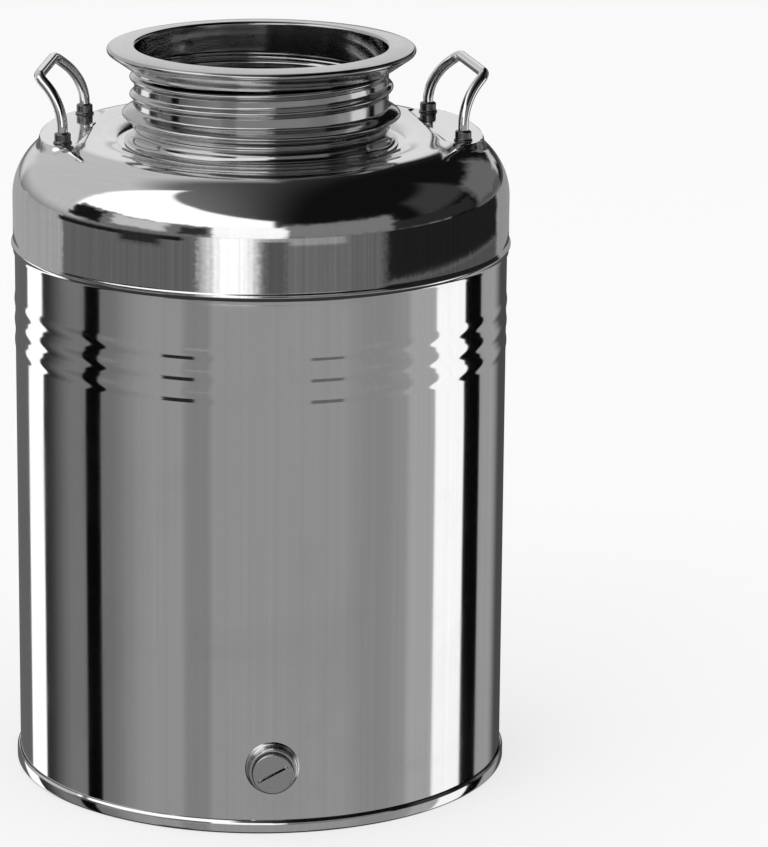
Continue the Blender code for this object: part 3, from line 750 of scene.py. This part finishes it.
def handle_path(side):
    """Front leg, bend, grip, bend and rear leg as one line, swung back with its flat."""
    near, far = leg(side, -1), leg(side, 1)
    lead = unit(near[-1] - near[-2]) * GRIP_LEAD
    top_near, top_far = near[-1] + lead, far[-1] + lead * np.array([1.0, -1.0, 1.0])
    first = bend(near[-1], top_near, top_far, GRIP_BEND, GRIP_STEPS)
    second = bend(top_near, top_far, far[-1], GRIP_BEND, GRIP_STEPS)
    grip = line(first[-1], second[0], 10)[1:-1]
    x, y, z = np.vstack([near, first, grip, second, far[::-1]]).T
    return np.stack([*swung(x, y, side), z], axis=1)


for side, word in ((-1, "left"), (1, "right")):
    points, faces = tube(handle_path(side), ROD_RADIUS)
    add_piece(f"handle_{word}_rod", points, faces, rod_steel, [f"handle_{word}"], sharp=SHARP_ROD)

# %% [markdown]
# ## Ferrules
#
# The handles' feet stand in short collars, welded to the flats. Their tone is much darker and their finish
# rougher than the rest. The collar's top is a small fillet up to the rod, as the weld metal leaves it.

# %% Ferrules
dulled_steel = steel("dulled_ferrule", rings, 900.0, 0.26, 0.08, 0.20, 0.25, 0.000004, 0.00005, 160.0)
FERRULE_RADIUS, FERRULE_HEIGHT, FERRULE_FLARE = 5.2 * MM, 6.2 * MM, 0.8 * MM
WELD_TOP, FERRULE_EDGE, FOOT_HOLLOW, FOOT_EDGE = FERRULE_HEIGHT + 0.6 * MM, 1.1 * MM, 1.2 * MM, 0.3 * MM


def ferrule_profile():
    """From the rod at the top, over a rounded edge, down the wall to a spread foot."""
    foot, edge_centre = FERRULE_RADIUS + FERRULE_FLARE, FERRULE_RADIUS - FERRULE_EDGE
    return joined(
        (0.0, WELD_TOP),
        (ROD_RADIUS - 0.1 * MM, WELD_TOP),
        line((ROD_RADIUS + 0.15 * MM, FERRULE_HEIGHT + 0.3 * MM), (edge_centre, FERRULE_HEIGHT), 3),
        arc((edge_centre, FERRULE_HEIGHT - FERRULE_EDGE), FERRULE_EDGE, 90.0, 0.0, 8),
        arc((foot + 0.4 * MM, 1.6 * MM), FOOT_HOLLOW, 180.0, 225.0, 5),
        arc((foot - FOOT_EDGE, FOOT_EDGE), FOOT_EDGE, 60.0, 0.0, 3),
        (foot, 0.0),
        (0.0, 0.0),
    )


for side, side_word in ((-1, "left"), (1, "right")):
    for front, front_word in ((-1, "front"), (1, "rear")):
        node_name = f"ferrule_{side_word}_{front_word}"
        low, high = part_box(node_name)
        points, faces = lathe(ferrule_profile(), round_angles(56))
        place = np.array([*swung(side * FOOT_OUT, front * FOOT_APART / 2, side), low.z])
        add_piece(f"{node_name}_collar", points + place, faces, dulled_steel, [node_name])

# %% [markdown]
# ## Outlet
#
# Low in the wall sits a threaded socket, closed by a round screw plug with a slot for a coin or a wide
# blade. Between them lies a flat rubber ring. The socket's foot follows the barrel's curve, so each
# point there drops by the sag of a circle of the barrel's radius. Both threads are helices of the
# half-inch pipe pitch, and the plug's one only shows when it is unscrewed.

# %% Outlet socket
OUTLET_TURN = (math.pi / 2, 0.0, 0.0)
OUTLET_CENTRE = (0.0, CAN_AXIS[1] - BODY_RADIUS, OUTLET_HEIGHT)
turned_steel = steel("turned_plug", rings, 1500.0, 0.62, 0.42, 0.20, 0.16, 0.000006, 0.00002, 60.0,
                     OUTLET_CENTRE, OUTLET_TURN)
socket_steel = steel("turned_socket", rings, 1200.0, 0.66, 0.48, 0.16, 0.16, 0.000004, 0.00002, 60.0,
                     OUTLET_CENTRE, OUTLET_TURN)
SOCKET_RADIUS, SOCKET_REACH, SOCKET_ROOT = 14.6 * MM, 8.0 * MM, -3.0 * MM
SOCKET_EDGE, SOCKET_FILLET, SAG_REACH = 0.5 * MM, 2.4 * MM, 5.0 * MM
PIPE_PITCH, PIPE_DEPTH, TOUCH = 1.814 * MM, 0.9 * MM, 0.01 * MM


def pipe_thread(grid, low, high, depth):
    """Moves the rows between two heights in or out by a cosine wave that climbs one pitch a turn."""
    turn = np.arctan2(grid[..., 1], grid[..., 0]) / (2 * np.pi)
    phase = (grid[..., 2] / PIPE_PITCH - turn) % 1.0
    wave = (1 - np.cos(2 * np.pi * phase)) / 2
    ends = np.clip(np.minimum(grid[..., 2] - low, high - grid[..., 2]) / PIPE_PITCH, 0.0, 1.0)
    radius = np.hypot(grid[..., 0], grid[..., 1])
    result = grid.copy()
    result[..., :2] *= (1 + depth * wave * ends / radius)[..., None]
    return result


def socket_shape(grid):
    """Cuts the thread into the bore's rows and lays the foot on the barrel's curve."""
    bore = np.hypot(grid[..., 0], grid[..., 1]) < HOLE_RADIUS + TOUCH
    threaded = pipe_thread(grid, -2.0 * MM, SOCKET_REACH - 0.3 * MM, PIPE_DEPTH)
    result = np.where(bore[..., None], threaded, grid)
    sag = BODY_RADIUS - np.sqrt(BODY_RADIUS**2 - result[..., 0] ** 2)
    share = np.clip(1 - result[..., 2] / SAG_REACH, 0.0, 1.0)
    result[..., 2] -= np.where(bore, 0.0, sag * share)
    return result


socket_foot = SOCKET_RADIUS + SOCKET_FILLET
socket_path = joined(
    line((HOLE_RADIUS, SOCKET_ROOT), (HOLE_RADIUS, SOCKET_REACH), 54),
    (SOCKET_RADIUS - SOCKET_EDGE, SOCKET_REACH),
    arc((SOCKET_RADIUS - SOCKET_EDGE, SOCKET_REACH - SOCKET_EDGE), SOCKET_EDGE, 90.0, 0.0, 5),
    arc((socket_foot, 3.4 * MM), SOCKET_FILLET, 180.0, 250.0, 10),
    (socket_foot, 0.4 * MM),
    (socket_foot - 0.3 * MM, -0.2 * MM),
    (HOLE_RADIUS + 2.0 * MM, -0.5 * MM),
    (HOLE_RADIUS + 1.6 * MM, SOCKET_ROOT),
)
points, faces = lathe(socket_path, round_angles(96), closed=True, reshape=socket_shape)
add_piece("outlet_socket_collar", outlet_place(points), faces, socket_steel, ["outlet_socket"])

# %% Sealing ring of the plug
GASKET_BACK, GASKET_FRONT = SOCKET_REACH + LAP_GAP, SOCKET_REACH + 1.8 * MM
GASKET_OUTER, GASKET_EDGE = HOLE_RADIUS + 2.7 * MM, 0.25 * MM


def make_rubber():
    """Matt black rubber: a dark grey, dusty in patches, with a fine grain in relief."""
    material, tree = new_material("plug_rubber")
    shader = tree.nodes["Principled BSDF"]
    vector = place_vector(tree, OUTLET_CENTRE, OUTLET_TURN)
    dust = use(tree, smudges, vector, size=140.0)["Mask"]
    tree.links.new(grey_mix(tree, dust, 0.012, 0.05), shader.inputs["Base Color"])
    tree.links.new(map_range(tree, dust, 0.0, 1.0, 0.42, 0.7), shader.inputs["Roughness"])
    grain = noise(tree, vector, 2600.0, 3.0)
    tree.links.new(bump(tree, grain, 0.00002), shader.inputs["Normal"])
    return material


gasket_path = joined(
    line((HOLE_RADIUS, GASKET_BACK), (HOLE_RADIUS, GASKET_FRONT), 3),
    arc((GASKET_OUTER - GASKET_EDGE, GASKET_FRONT - GASKET_EDGE), GASKET_EDGE, 90.0, 0.0, 4),
    arc((GASKET_OUTER - GASKET_EDGE, GASKET_BACK + GASKET_EDGE), GASKET_EDGE, 0.0, -90.0, 4),
)
points, faces = lathe(gasket_path, round_angles(72), closed=True)
add_piece("plug_gasket_ring", outlet_place(points), faces, make_rubber(), ["plug_gasket"],
          body="seal")

# %% Outlet plug
PLUG_RADIUS, PLUG_BACK, PLUG_FACE = 12.8 * MM, GASKET_FRONT + LAP_GAP, GASKET_FRONT + 2.7 * MM
SHANK_RADIUS, SHANK_LENGTH = 10.25 * MM, 10.4 * MM
SLOT_LENGTH, SLOT_WIDTH, SLOT_DEPTH, SLOT_ABOVE, SLOT_ANGLE = 20.5 * MM, 1.9 * MM, 1.5 * MM, 1.0 * MM, 25.0


def plug_profile():
    """Face, rounded edge, head, and the shank down to its chamfered end."""
    end, soft = PLUG_BACK - SHANK_LENGTH, 0.6 * MM
    return joined(
        line((0.0, PLUG_FACE), (PLUG_RADIUS - soft, PLUG_FACE), 8),
        arc((PLUG_RADIUS - soft, PLUG_FACE - soft), soft, 90.0, 0.0, 8),
        (PLUG_RADIUS, PLUG_BACK),
        line((SHANK_RADIUS, PLUG_BACK), (SHANK_RADIUS, end + soft), 60),
        (SHANK_RADIUS - soft, end),
        (0.0, end),
    )


def shank_thread(grid):
    """Cuts the pipe thread into the shank's rows."""
    shank = np.abs(np.hypot(grid[..., 0], grid[..., 1]) - SHANK_RADIUS) < TOUCH
    low, high = PLUG_BACK - SHANK_LENGTH + 0.3 * MM, PLUG_BACK - 0.8 * MM
    return np.where(shank[..., None], pipe_thread(grid, low, high, -PIPE_DEPTH), grid)


def slot_cutter():
    """A bar with round ends, turned by the slot's angle: it reaches from above the face to the slot's floor."""
    middle, slant = (SLOT_LENGTH - SLOT_WIDTH) / 2, math.radians(SLOT_ANGLE)
    outline = np.vstack([arc((side * middle, 0.0), SLOT_WIDTH / 2, side * 90.0 - 90.0, side * 90.0 + 90.0, 8)
                         for side in (1, -1)])
    outline = outline @ np.array([[math.cos(slant), math.sin(slant)], [-math.sin(slant), math.cos(slant)]])
    count = len(outline)
    levels = [np.column_stack([outline, np.full(count, PLUG_FACE + step)]) for step in (SLOT_ABOVE, -SLOT_DEPTH)]
    ends = [list(range(count)), list(range(2 * count - 1, count - 1, -1))]
    return np.vstack(levels), grid_quads(2, count)[:, ::-1].tolist() + ends


points, faces = lathe(plug_profile(), round_angles(96), reshape=shank_thread)
plug = add_piece("outlet_plug_screw", outlet_place(points), faces, turned_steel, ["outlet_plug"],
                 body="plug")
points, faces = slot_cutter()
cut(plug, outlet_place(points), faces)
print("plug has", len(plug.data.polygons), "faces after its slot")

# %% [markdown]
# ## Camera
#
# The photo was taken with a long lens from a little above. The camera's place was fitted to the
# ellipses of the rims and the seam. The whole rig is turned about the can's axis by a few degrees,
# because the plug appears just right of the middle.

# %% Camera
PHOTO_HEIGHT = 847
CAMERA_DISTANCE, CAMERA_HEIGHT = 2.85, 1.002
FOCAL_PIXELS, PITCH, YAW, ROLL = 4562.2, 15.277, 1.602, 0.533
RIG_TURN = -2.7
SENSOR_WIDTH, FAR_CLIP = 36.0, 100.0


def camera_matrix():
    """Right, up and backward axes from yaw, pitch and roll, at the camera's place, turned about the can."""
    pitch, yaw, roll = (math.radians(angle) for angle in (PITCH, YAW, ROLL))
    ahead = Vector((math.sin(yaw) * math.cos(pitch), math.cos(yaw) * math.cos(pitch), -math.sin(pitch)))
    right = Vector((math.cos(yaw), -math.sin(yaw), 0.0))
    up = right.cross(ahead)
    tilted_right = right * math.cos(roll) + up * math.sin(roll)
    tilted_up = up * math.cos(roll) - right * math.sin(roll)
    turned = Matrix((tilted_right, tilted_up, -ahead)).transposed().to_4x4()
    place = Matrix.Translation((0.0, -CAMERA_DISTANCE, CAMERA_HEIGHT)) @ turned
    rig = Matrix.Translation(Vector(CAN_AXIS)) @ Matrix.Rotation(math.radians(RIG_TURN), 4, "Z")
    return rig @ place


camera_data = bpy.data.cameras.new("camera")
camera_data.sensor_width = SENSOR_WIDTH
camera_data.lens = FOCAL_PIXELS * SENSOR_WIDTH / PHOTO_HEIGHT
camera_data.clip_end = FAR_CLIP
camera = bpy.data.objects.new("camera", camera_data)
camera.matrix_world = camera_matrix()
bpy.context.scene.collection.objects.link(camera)
bpy.context.scene.camera = camera
print("lens", round(camera_data.lens, 1), "mm")

# %% [markdown]
# ## Floor, world and lamps
#
# The can stands on a plain white floor in front of white. The camera sees the floor's own light, so the
# ground stays white, while its diffuse part takes the can's soft shadow. Steel looking down would show
# the floor as one bright field, so the floor is kept out of reflections and the tent stands in for it.

# %% Floor, world and lamps
FLOOR_LIT, FLOOR_GLOW, FLOOR_REACH = 0.42, 0.58, 30.0
DIFFUSE_LEVEL, LAMP_TARGET = 0.85, Vector((0.0, 0.0, 0.2))


def make_floor():
    """White floor: a bit over half its brightness is its own, seen by the camera, and the rest is lit."""
    material, tree = new_material("studio_floor")
    tree.nodes.clear()
    lit = node(tree, "ShaderNodeBsdfDiffuse")
    lit.inputs["Color"].default_value = (FLOOR_LIT, FLOOR_LIT, FLOOR_LIT, 1.0)
    glow = node(tree, "ShaderNodeEmission")
    glow.inputs["Color"].default_value = (FLOOR_GLOW, FLOOR_GLOW, FLOOR_GLOW, 1.0)
    path = node(tree, "ShaderNodeLightPath")
    tree.links.new(path.outputs["Is Camera Ray"], glow.inputs["Strength"])
    both, out = node(tree, "ShaderNodeAddShader"), node(tree, "ShaderNodeOutputMaterial")
    tree.links.new(lit.outputs[0], both.inputs[0])
    tree.links.new(glow.outputs[0], both.inputs[1])
    tree.links.new(both.outputs[0], out.inputs["Surface"])
    mesh = bpy.data.meshes.new("studio_floor")
    corners = [(x * FLOOR_REACH, y * FLOOR_REACH, 0.0) for x, y in ((-1, -1), (1, -1), (1, 1), (-1, 1))]
    mesh.from_pydata(corners, [], [(0, 1, 2, 3)])
    mesh.materials.append(material)
    floor = bpy.data.objects.new("studio_floor", mesh)
    bpy.context.scene.collection.objects.link(floor)
    floor.visible_glossy = False


def make_world():
    """White where the camera, reflections and clear materials look, and a little lower for diffuse light."""
    world = bpy.data.worlds.new("studio")
    world.use_nodes = True
    tree = world.node_tree
    background = tree.nodes["Background"]
    background.inputs["Color"].default_value = (1.0, 1.0, 1.0, 1.0)
    path = node(tree, "ShaderNodeLightPath")
    seen = math_node(tree, "MAXIMUM", path.outputs["Is Camera Ray"], path.outputs["Is Glossy Ray"])
    seen = math_node(tree, "MAXIMUM", seen, path.outputs["Is Transmission Ray"])
    tree.links.new(map_range(tree, seen, 0.0, 1.0, DIFFUSE_LEVEL, 1.0), background.inputs["Strength"])
    bpy.context.scene.world = world


def add_lamp(name, place, size, watts):
    """A large square lamp aimed at the can, for diffuse light and the shadow only."""
    lamp_data = bpy.data.lights.new(name, "AREA")
    lamp_data.size = size
    lamp_data.energy = watts
    lamp = bpy.data.objects.new(name, lamp_data)
    lamp.location = place
    lamp.rotation_euler = (LAMP_TARGET - Vector(place)).to_track_quat("-Z", "Y").to_euler()
    lamp.visible_glossy = False
    bpy.context.scene.collection.objects.link(lamp)


make_floor()
make_world()
add_lamp("key_lamp", (-1.6, -1.8, 2.6), 1.8, 12.0)
add_lamp("fill_lamp", (2.2, -1.0, 2.0), 2.0, 6.0)
bpy.context.scene.view_settings.view_transform = "Standard"
print("floor, world and lamps ready")

# %% [markdown]
# ## Light tent
#
# Polished steel is photographed inside a tent of white cloth, with softboxes and black boards hung in
# it. Each shows as a stripe or a patch in the metal. The tent here is one large dome that only
# reflections can see. A panel is a range of bearings and heights on it, measured in degrees from the
# middle of the can: bearing 0 lies towards the camera and grows to the right, height 0 is level. The
# upright wall of the barrel looks a little downwards, at -13 to -21 degrees, so its stripes hang there.
# The domed shoulder looks up, so its softboxes and boards hang above the level.

# %% Panels of the tent
TENT_RADIUS = 5.0
TENT_CENTRE = (0.0, CAN_AXIS[1], 0.3)

# Where no panel hangs, the cloth fades from left to right between two shares of the dome's radius
SHEET_LEFT, SHEET_RIGHT, SHEET_FROM, SHEET_TO = 0.20, 0.006, -0.6, 0.3

# How far edges are torn, in degrees, and how finely; folds: how finely, and the darkest and lightest factor
TENT_TEAR, TENT_FOLDS = (2.2, 0.22), (0.35, 0.94, 1.06)

# Each panel: bearing from and to, height from and to, softness of its edge, brightness, and its lean if any
BARREL_PANELS = {
    "front_grey": (-77.5, 95.0, -90.0, 4.0, 3.0, 0.33),
    "left_shade": (-90.0, -64.0, -90.0, 0.0, 26.0, 0.18),
    "dark_streak": (-35.0, -23.0, -90.0, 0.0, 3.5, 0.25),
    "right_shade": (44.0, 66.0, -90.0, 0.0, 16.0, 0.28),
    "right_glow": (72.0, 95.0, -90.0, 0.0, 4.0, 0.42),
    "left_dark": (-125.0, -85.0, -90.0, 0.0, 2.0, 0.03),
    "left_dim": (-108.0, -80.0, -90.0, 0.0, 22.0, 0.20),
    "left_black": (-88.5, -79.0, -90.0, 0.0, 1.5, 0.002),
    "left_rear_grey": (-180.0, -135.0, -90.0, 0.0, 2.0, 0.13),
    "left_softbox": (-138.5, -121.5, -90.0, 0.0, 1.5, 1.3),
    "right_rear_dark": (120.0, 181.0, -90.0, 0.0, 1.5, 0.07),
    "right_rear_grey": (120.0, 144.0, -90.0, 0.0, 14.0, 0.36),
    "right_softbox": (88.0, 109.0, -90.0, 0.0, 1.5, 1.15),
    "right_black": (108.7, 123.0, -90.0, 0.0, 1.5, 0.002),
    "rib_dark_left": (-48.0, -32.0, -36.0, -25.5, 2.0, 0.02),
    "rib_dark_right": (24.0, 40.0, -36.0, -26.5, 2.0, 0.14),
    "floor_dark": (-182.0, 182.0, -95.0, -38.0, 4.0, 0.04),
}
UPPER_PANELS = {
    "left_cloth": (-182.0, -91.0, 4.0, 62.0, 16.0, 0.58),
    "left_cloth_light": (-180.0, -150.0, 0.0, 12.0, 8.0, 0.72),
    "left_high_softbox": (-98.0, 6.0, 23.0, 53.0, 3.0, 1.3, -0.36),
    "left_low_softbox": (-97.0, -28.0, 16.0, 42.0, 3.0, 1.3),
    "front_low_white": (-22.0, 12.0, 5.0, 14.0, 1.0, 1.2),
    "right_patch": (80.0, 118.0, 18.0, 42.0, 8.0, 0.045, 0.25),
    "rear_low_white": (171.0, 189.0, 5.0, 30.0, 5.0, 0.80),
}
TORN_PANELS = {
    "left_low_grey": (-94.0, -22.0, 4.0, 23.0, 1.5, 0.17, -0.03),
    "left_low_light": (-72.0, -44.0, 9.0, 22.0, 3.0, 0.60),
    "left_board": (-97.0, -78.0, 6.0, 21.0, 1.5, 0.008),
    "left_board_small": (-37.0, -25.0, 8.0, 19.0, 1.5, 0.03),
    "front_white": (-22.0, 12.0, 10.0, 24.0, 3.0, 1.2),
    "right_low_grey": (12.0, 64.0, 4.0, 27.0, 6.0, 0.22),
    "right_low_board": (62.0, 114.0, 4.0, 16.0, 3.0, 0.025),
    "right_far_grey": (118.0, 152.0, 4.0, 27.0, 6.0, 0.15),
    "right_far_light": (150.0, 172.0, 4.0, 9.0, 4.0, 0.60),
}
print("tent with", len(BARREL_PANELS) + len(UPPER_PANELS) + len(TORN_PANELS), "panels")


# %% Paint panels
def make_panel_group():
    """Paints one panel over what is under it: within its bearings and heights, with eased edges."""
    inputs = [("Bearing", FLOAT, 0.0), ("Height", FLOAT, 0.0), ("Under", FLOAT, 0.0), ("Middle", FLOAT, 0.0),
              ("Half", FLOAT, 10.0), ("Low", FLOAT, 0.0), ("High", FLOAT, 10.0), ("Edge", FLOAT, 2.0),
              ("Level", FLOAT, 1.0), ("Lean", FLOAT, 0.0)]
    tree, given, out = group("tent_panel", inputs, ["Level"])
    aside = math_node(tree, "SUBTRACT", given["Bearing"], given["Middle"])
    aside = math_node(tree, "WRAP", aside, 180.0, -180.0)
    margin = math_node(tree, "SUBTRACT", given["Half"], math_node(tree, "ABSOLUTE", aside))
    height = math_node(tree, "SUBTRACT", given["Height"], math_node(tree, "MULTIPLY", aside, given["Lean"]))
    above = math_node(tree, "SUBTRACT", height, given["Low"])
    below = math_node(tree, "SUBTRACT", given["High"], height)
    inside = math_node(tree, "MINIMUM", margin, math_node(tree, "MINIMUM", above, below))
    half_edge = math_node(tree, "MULTIPLY", given["Edge"], 0.5)
    outer_edge = math_node(tree, "MULTIPLY", given["Edge"], -0.5)
    mask = map_range(tree, inside, outer_edge, half_edge, smooth=True)
    change = math_node(tree, "SUBTRACT", given["Level"], given["Under"])
    tree.links.new(math_node(tree, "MULTIPLY_ADD", change, mask, given["Under"]), out["Level"])
    return tree


panel_group = make_panel_group()


def paint_panels(tree, bearing, height, panels, level):
    """Lays one panel after another over a level, which is a number at first and a socket after that."""
    for name, (left, right, low, high, soft, bright, *lean) in panels.items():
        panel = tree.nodes.new("ShaderNodeGroup")
        panel.node_tree = panel_group
        panel.label = name
        values = {"Bearing": bearing, "Height": height, "Under": level, "Middle": (left + right) / 2,
                  "Half": (right - left) / 2, "Low": low, "High": high, "Edge": soft, "Level": bright,
                  "Lean": sum(lean)}
        for title, value in values.items():
            if isinstance(value, (int, float)):
                panel.inputs[title].default_value = value
            else:
                tree.links.new(value, panel.inputs[title])
        level = panel.outputs["Level"]
    return level


# %% [markdown]
# The low boards above the level are creased and torn at their edges, and thin sheet bends their
# reflections a little more. So bearing and height are pushed about by noise before those panels are
# painted. The stripes for the barrel and the big softbox stay straight.

# %% Ragged edges
def ragged(tree, bearing, height, amount, scale):
    """Bearing and height in degrees, each moved by up to the amount, by noise over both."""
    join = node(tree, "ShaderNodeCombineXYZ")
    tree.links.new(bearing, join.inputs["X"])
    tree.links.new(height, join.inputs["Y"])
    moved = []
    for layer, value in ((0.0, bearing), (40.0, height)):
        shifted = node(tree, "ShaderNodeVectorMath", operation="ADD")
        shifted.inputs[1].default_value = (0.0, 0.0, layer)
        tree.links.new(join.outputs[0], shifted.inputs[0])
        push = math_node(tree, "SUBTRACT", noise(tree, shifted.outputs[0], scale, 3.0), 0.5)
        moved.append(math_node(tree, "MULTIPLY_ADD", push, 4.0 * amount, value))
    return moved


# %% Hang the tent
def staged_glow(name, points, faces, paint):
    """A staged surface that only reflections see. Its brightness comes from a function of its node tree."""
    mesh = bpy.data.meshes.new(name)
    mesh.from_pydata(points.tolist(), [], faces)
    mesh.shade_smooth()
    material, tree = new_material(name)
    tree.nodes.clear()
    glow, out = node(tree, "ShaderNodeEmission"), node(tree, "ShaderNodeOutputMaterial")
    tree.links.new(paint(tree), glow.inputs["Strength"])
    tree.links.new(glow.outputs[0], out.inputs["Surface"])
    material.cycles.emission_sampling = "NONE"
    mesh.materials.append(material)
    surface = bpy.data.objects.new(name, mesh)
    bpy.context.scene.collection.objects.link(surface)
    surface.visible_camera = False
    surface.visible_diffuse = False
    surface.visible_shadow = False
    surface.visible_transmission = False


def bearing_of(tree, split):
    """Bearing in degrees round the can, from the camera's side: the arctangent of x over minus y."""
    back = math_node(tree, "MULTIPLY", split["Y"], -1.0)
    return math_node(tree, "DEGREES", math_node(tree, "ARCTAN2", split["X"], back))


def cloth_folds(tree, bearing, scale, dark, light):
    """Upright folds in cloth or card: noise over the bearing alone, as a factor on the brightness."""
    join = node(tree, "ShaderNodeCombineXYZ")
    tree.links.new(bearing, join.inputs["X"])
    return map_range(tree, noise(tree, join.outputs[0], scale, 4.0, 0.6), 0.3, 0.7, dark, light)


def split_place(tree, centre):
    """X, Y and Z measured from a centre, turned with the camera's rig."""
    split = node(tree, "ShaderNodeSeparateXYZ")
    tree.links.new(place_vector(tree, centre, (0.0, 0.0, math.radians(RIG_TURN))), split.inputs[0])
    return split.outputs


def tent_level(tree):
    """Stripes for the barrel below the level, and above it the softbox and torn boards for the shoulder."""
    place = split_place(tree, TENT_CENTRE)
    bearing = bearing_of(tree, place)
    aside, up = (math_node(tree, "DIVIDE", place[side], TENT_RADIUS) for side in ("X", "Z"))
    height = math_node(tree, "DEGREES", math_node(tree, "ARCSINE", up))
    sheet = map_range(tree, aside, SHEET_FROM, SHEET_TO, SHEET_LEFT, SHEET_RIGHT, smooth=True)
    level = paint_panels(tree, bearing, height, {**BARREL_PANELS, **UPPER_PANELS}, sheet)
    level = paint_panels(tree, *ragged(tree, bearing, height, *TENT_TEAR), TORN_PANELS, level)
    return math_node(tree, "MULTIPLY", level, cloth_folds(tree, bearing, *TENT_FOLDS))


heights = np.radians(np.linspace(90.0, -90.0, 49))
dome = TENT_RADIUS * np.stack([np.cos(heights), np.sin(heights)], axis=1)
dome[[0, -1], 0] = 0.0
points, faces = lathe(dome, round_angles(96))
staged_glow("light_tent", points + np.array(TENT_CENTRE), faces, tent_level)

# %% [markdown]
# The shoulder's upright skirt and the barrel face the same way, so far panels cannot tell them apart.
# In the photo the skirt shows other things than the barrel under it: a white strip in front, dark
# boards on the right. A photographer gets that with cards held close. So a collar of cards stands 50 mm
# outside the skirt, just high enough that the barrel does not see it.

# %% Collar of cards round the skirt
COLLAR_RADIUS = SHOULDER_RADIUS + 50.0 * MM
COLLAR_LOW, COLLAR_HIGH = BARREL_TOP - 21.5 * MM, BARREL_TOP + 35.5 * MM

# Heights here are in millimetres above the collar's lower edge
COLLAR_CARDS = {
    "left_grey": (-66.0, -18.0, -5.0, 60.0, 1.5, 0.14),
    "left_torn_edge": (-68.0, -22.0, 46.0, 54.0, 2.0, 0.012),
    "left_torn_patch": (-42.0, -29.0, 36.0, 54.0, 4.0, 0.025),
    "front_light_grey": (7.0, 25.0, -5.0, 60.0, 3.0, 0.17),
    "front_upper_light": (4.0, 25.0, 42.0, 60.0, 6.0, 0.34),
    "front_streak": (-1.0, 7.5, -5.0, 50.0, 2.5, 0.11),
    "front_white": (-14.0, -2.0, -5.0, 60.0, 8.0, 1.3),
    "right_grey": (24.0, 37.0, -5.0, 60.0, 3.0, 0.15),
    "right_board": (36.0, 94.0, 14.0, 60.0, 4.0, 0.015),
    "right_board_foot": (36.0, 94.0, -5.0, 15.0, 6.0, 0.09),
    "right_strip": (95.0, 130.0, -5.0, 60.0, 2.0, 0.32),
}
COLLAR_OPEN, COLLAR_TEAR, COLLAR_FOLDS = 0.42, (1.2, 0.7), (0.9, 0.72, 1.22)


def collar_level(tree):
    """Cards by bearing and by millimetres of height, with torn edges and faint upright streaks."""
    place = split_place(tree, (0.0, CAN_AXIS[1], COLLAR_LOW))
    bearing, height = bearing_of(tree, place), math_node(tree, "DIVIDE", place["Z"], MM)
    level = paint_panels(tree, *ragged(tree, bearing, height, *COLLAR_TEAR), COLLAR_CARDS, COLLAR_OPEN)
    return math_node(tree, "MULTIPLY", level, cloth_folds(tree, bearing, *COLLAR_FOLDS))


collar = line((COLLAR_RADIUS, COLLAR_LOW), (COLLAR_RADIUS, COLLAR_HIGH), 2)
points, faces = lathe(collar, round_angles(256))
staged_glow("skirt_collar", points + CAN_AXIS, faces, collar_level)
print("collar from", round(COLLAR_LOW / MM, 1), "to", round(COLLAR_HIGH / MM, 1), "mm")
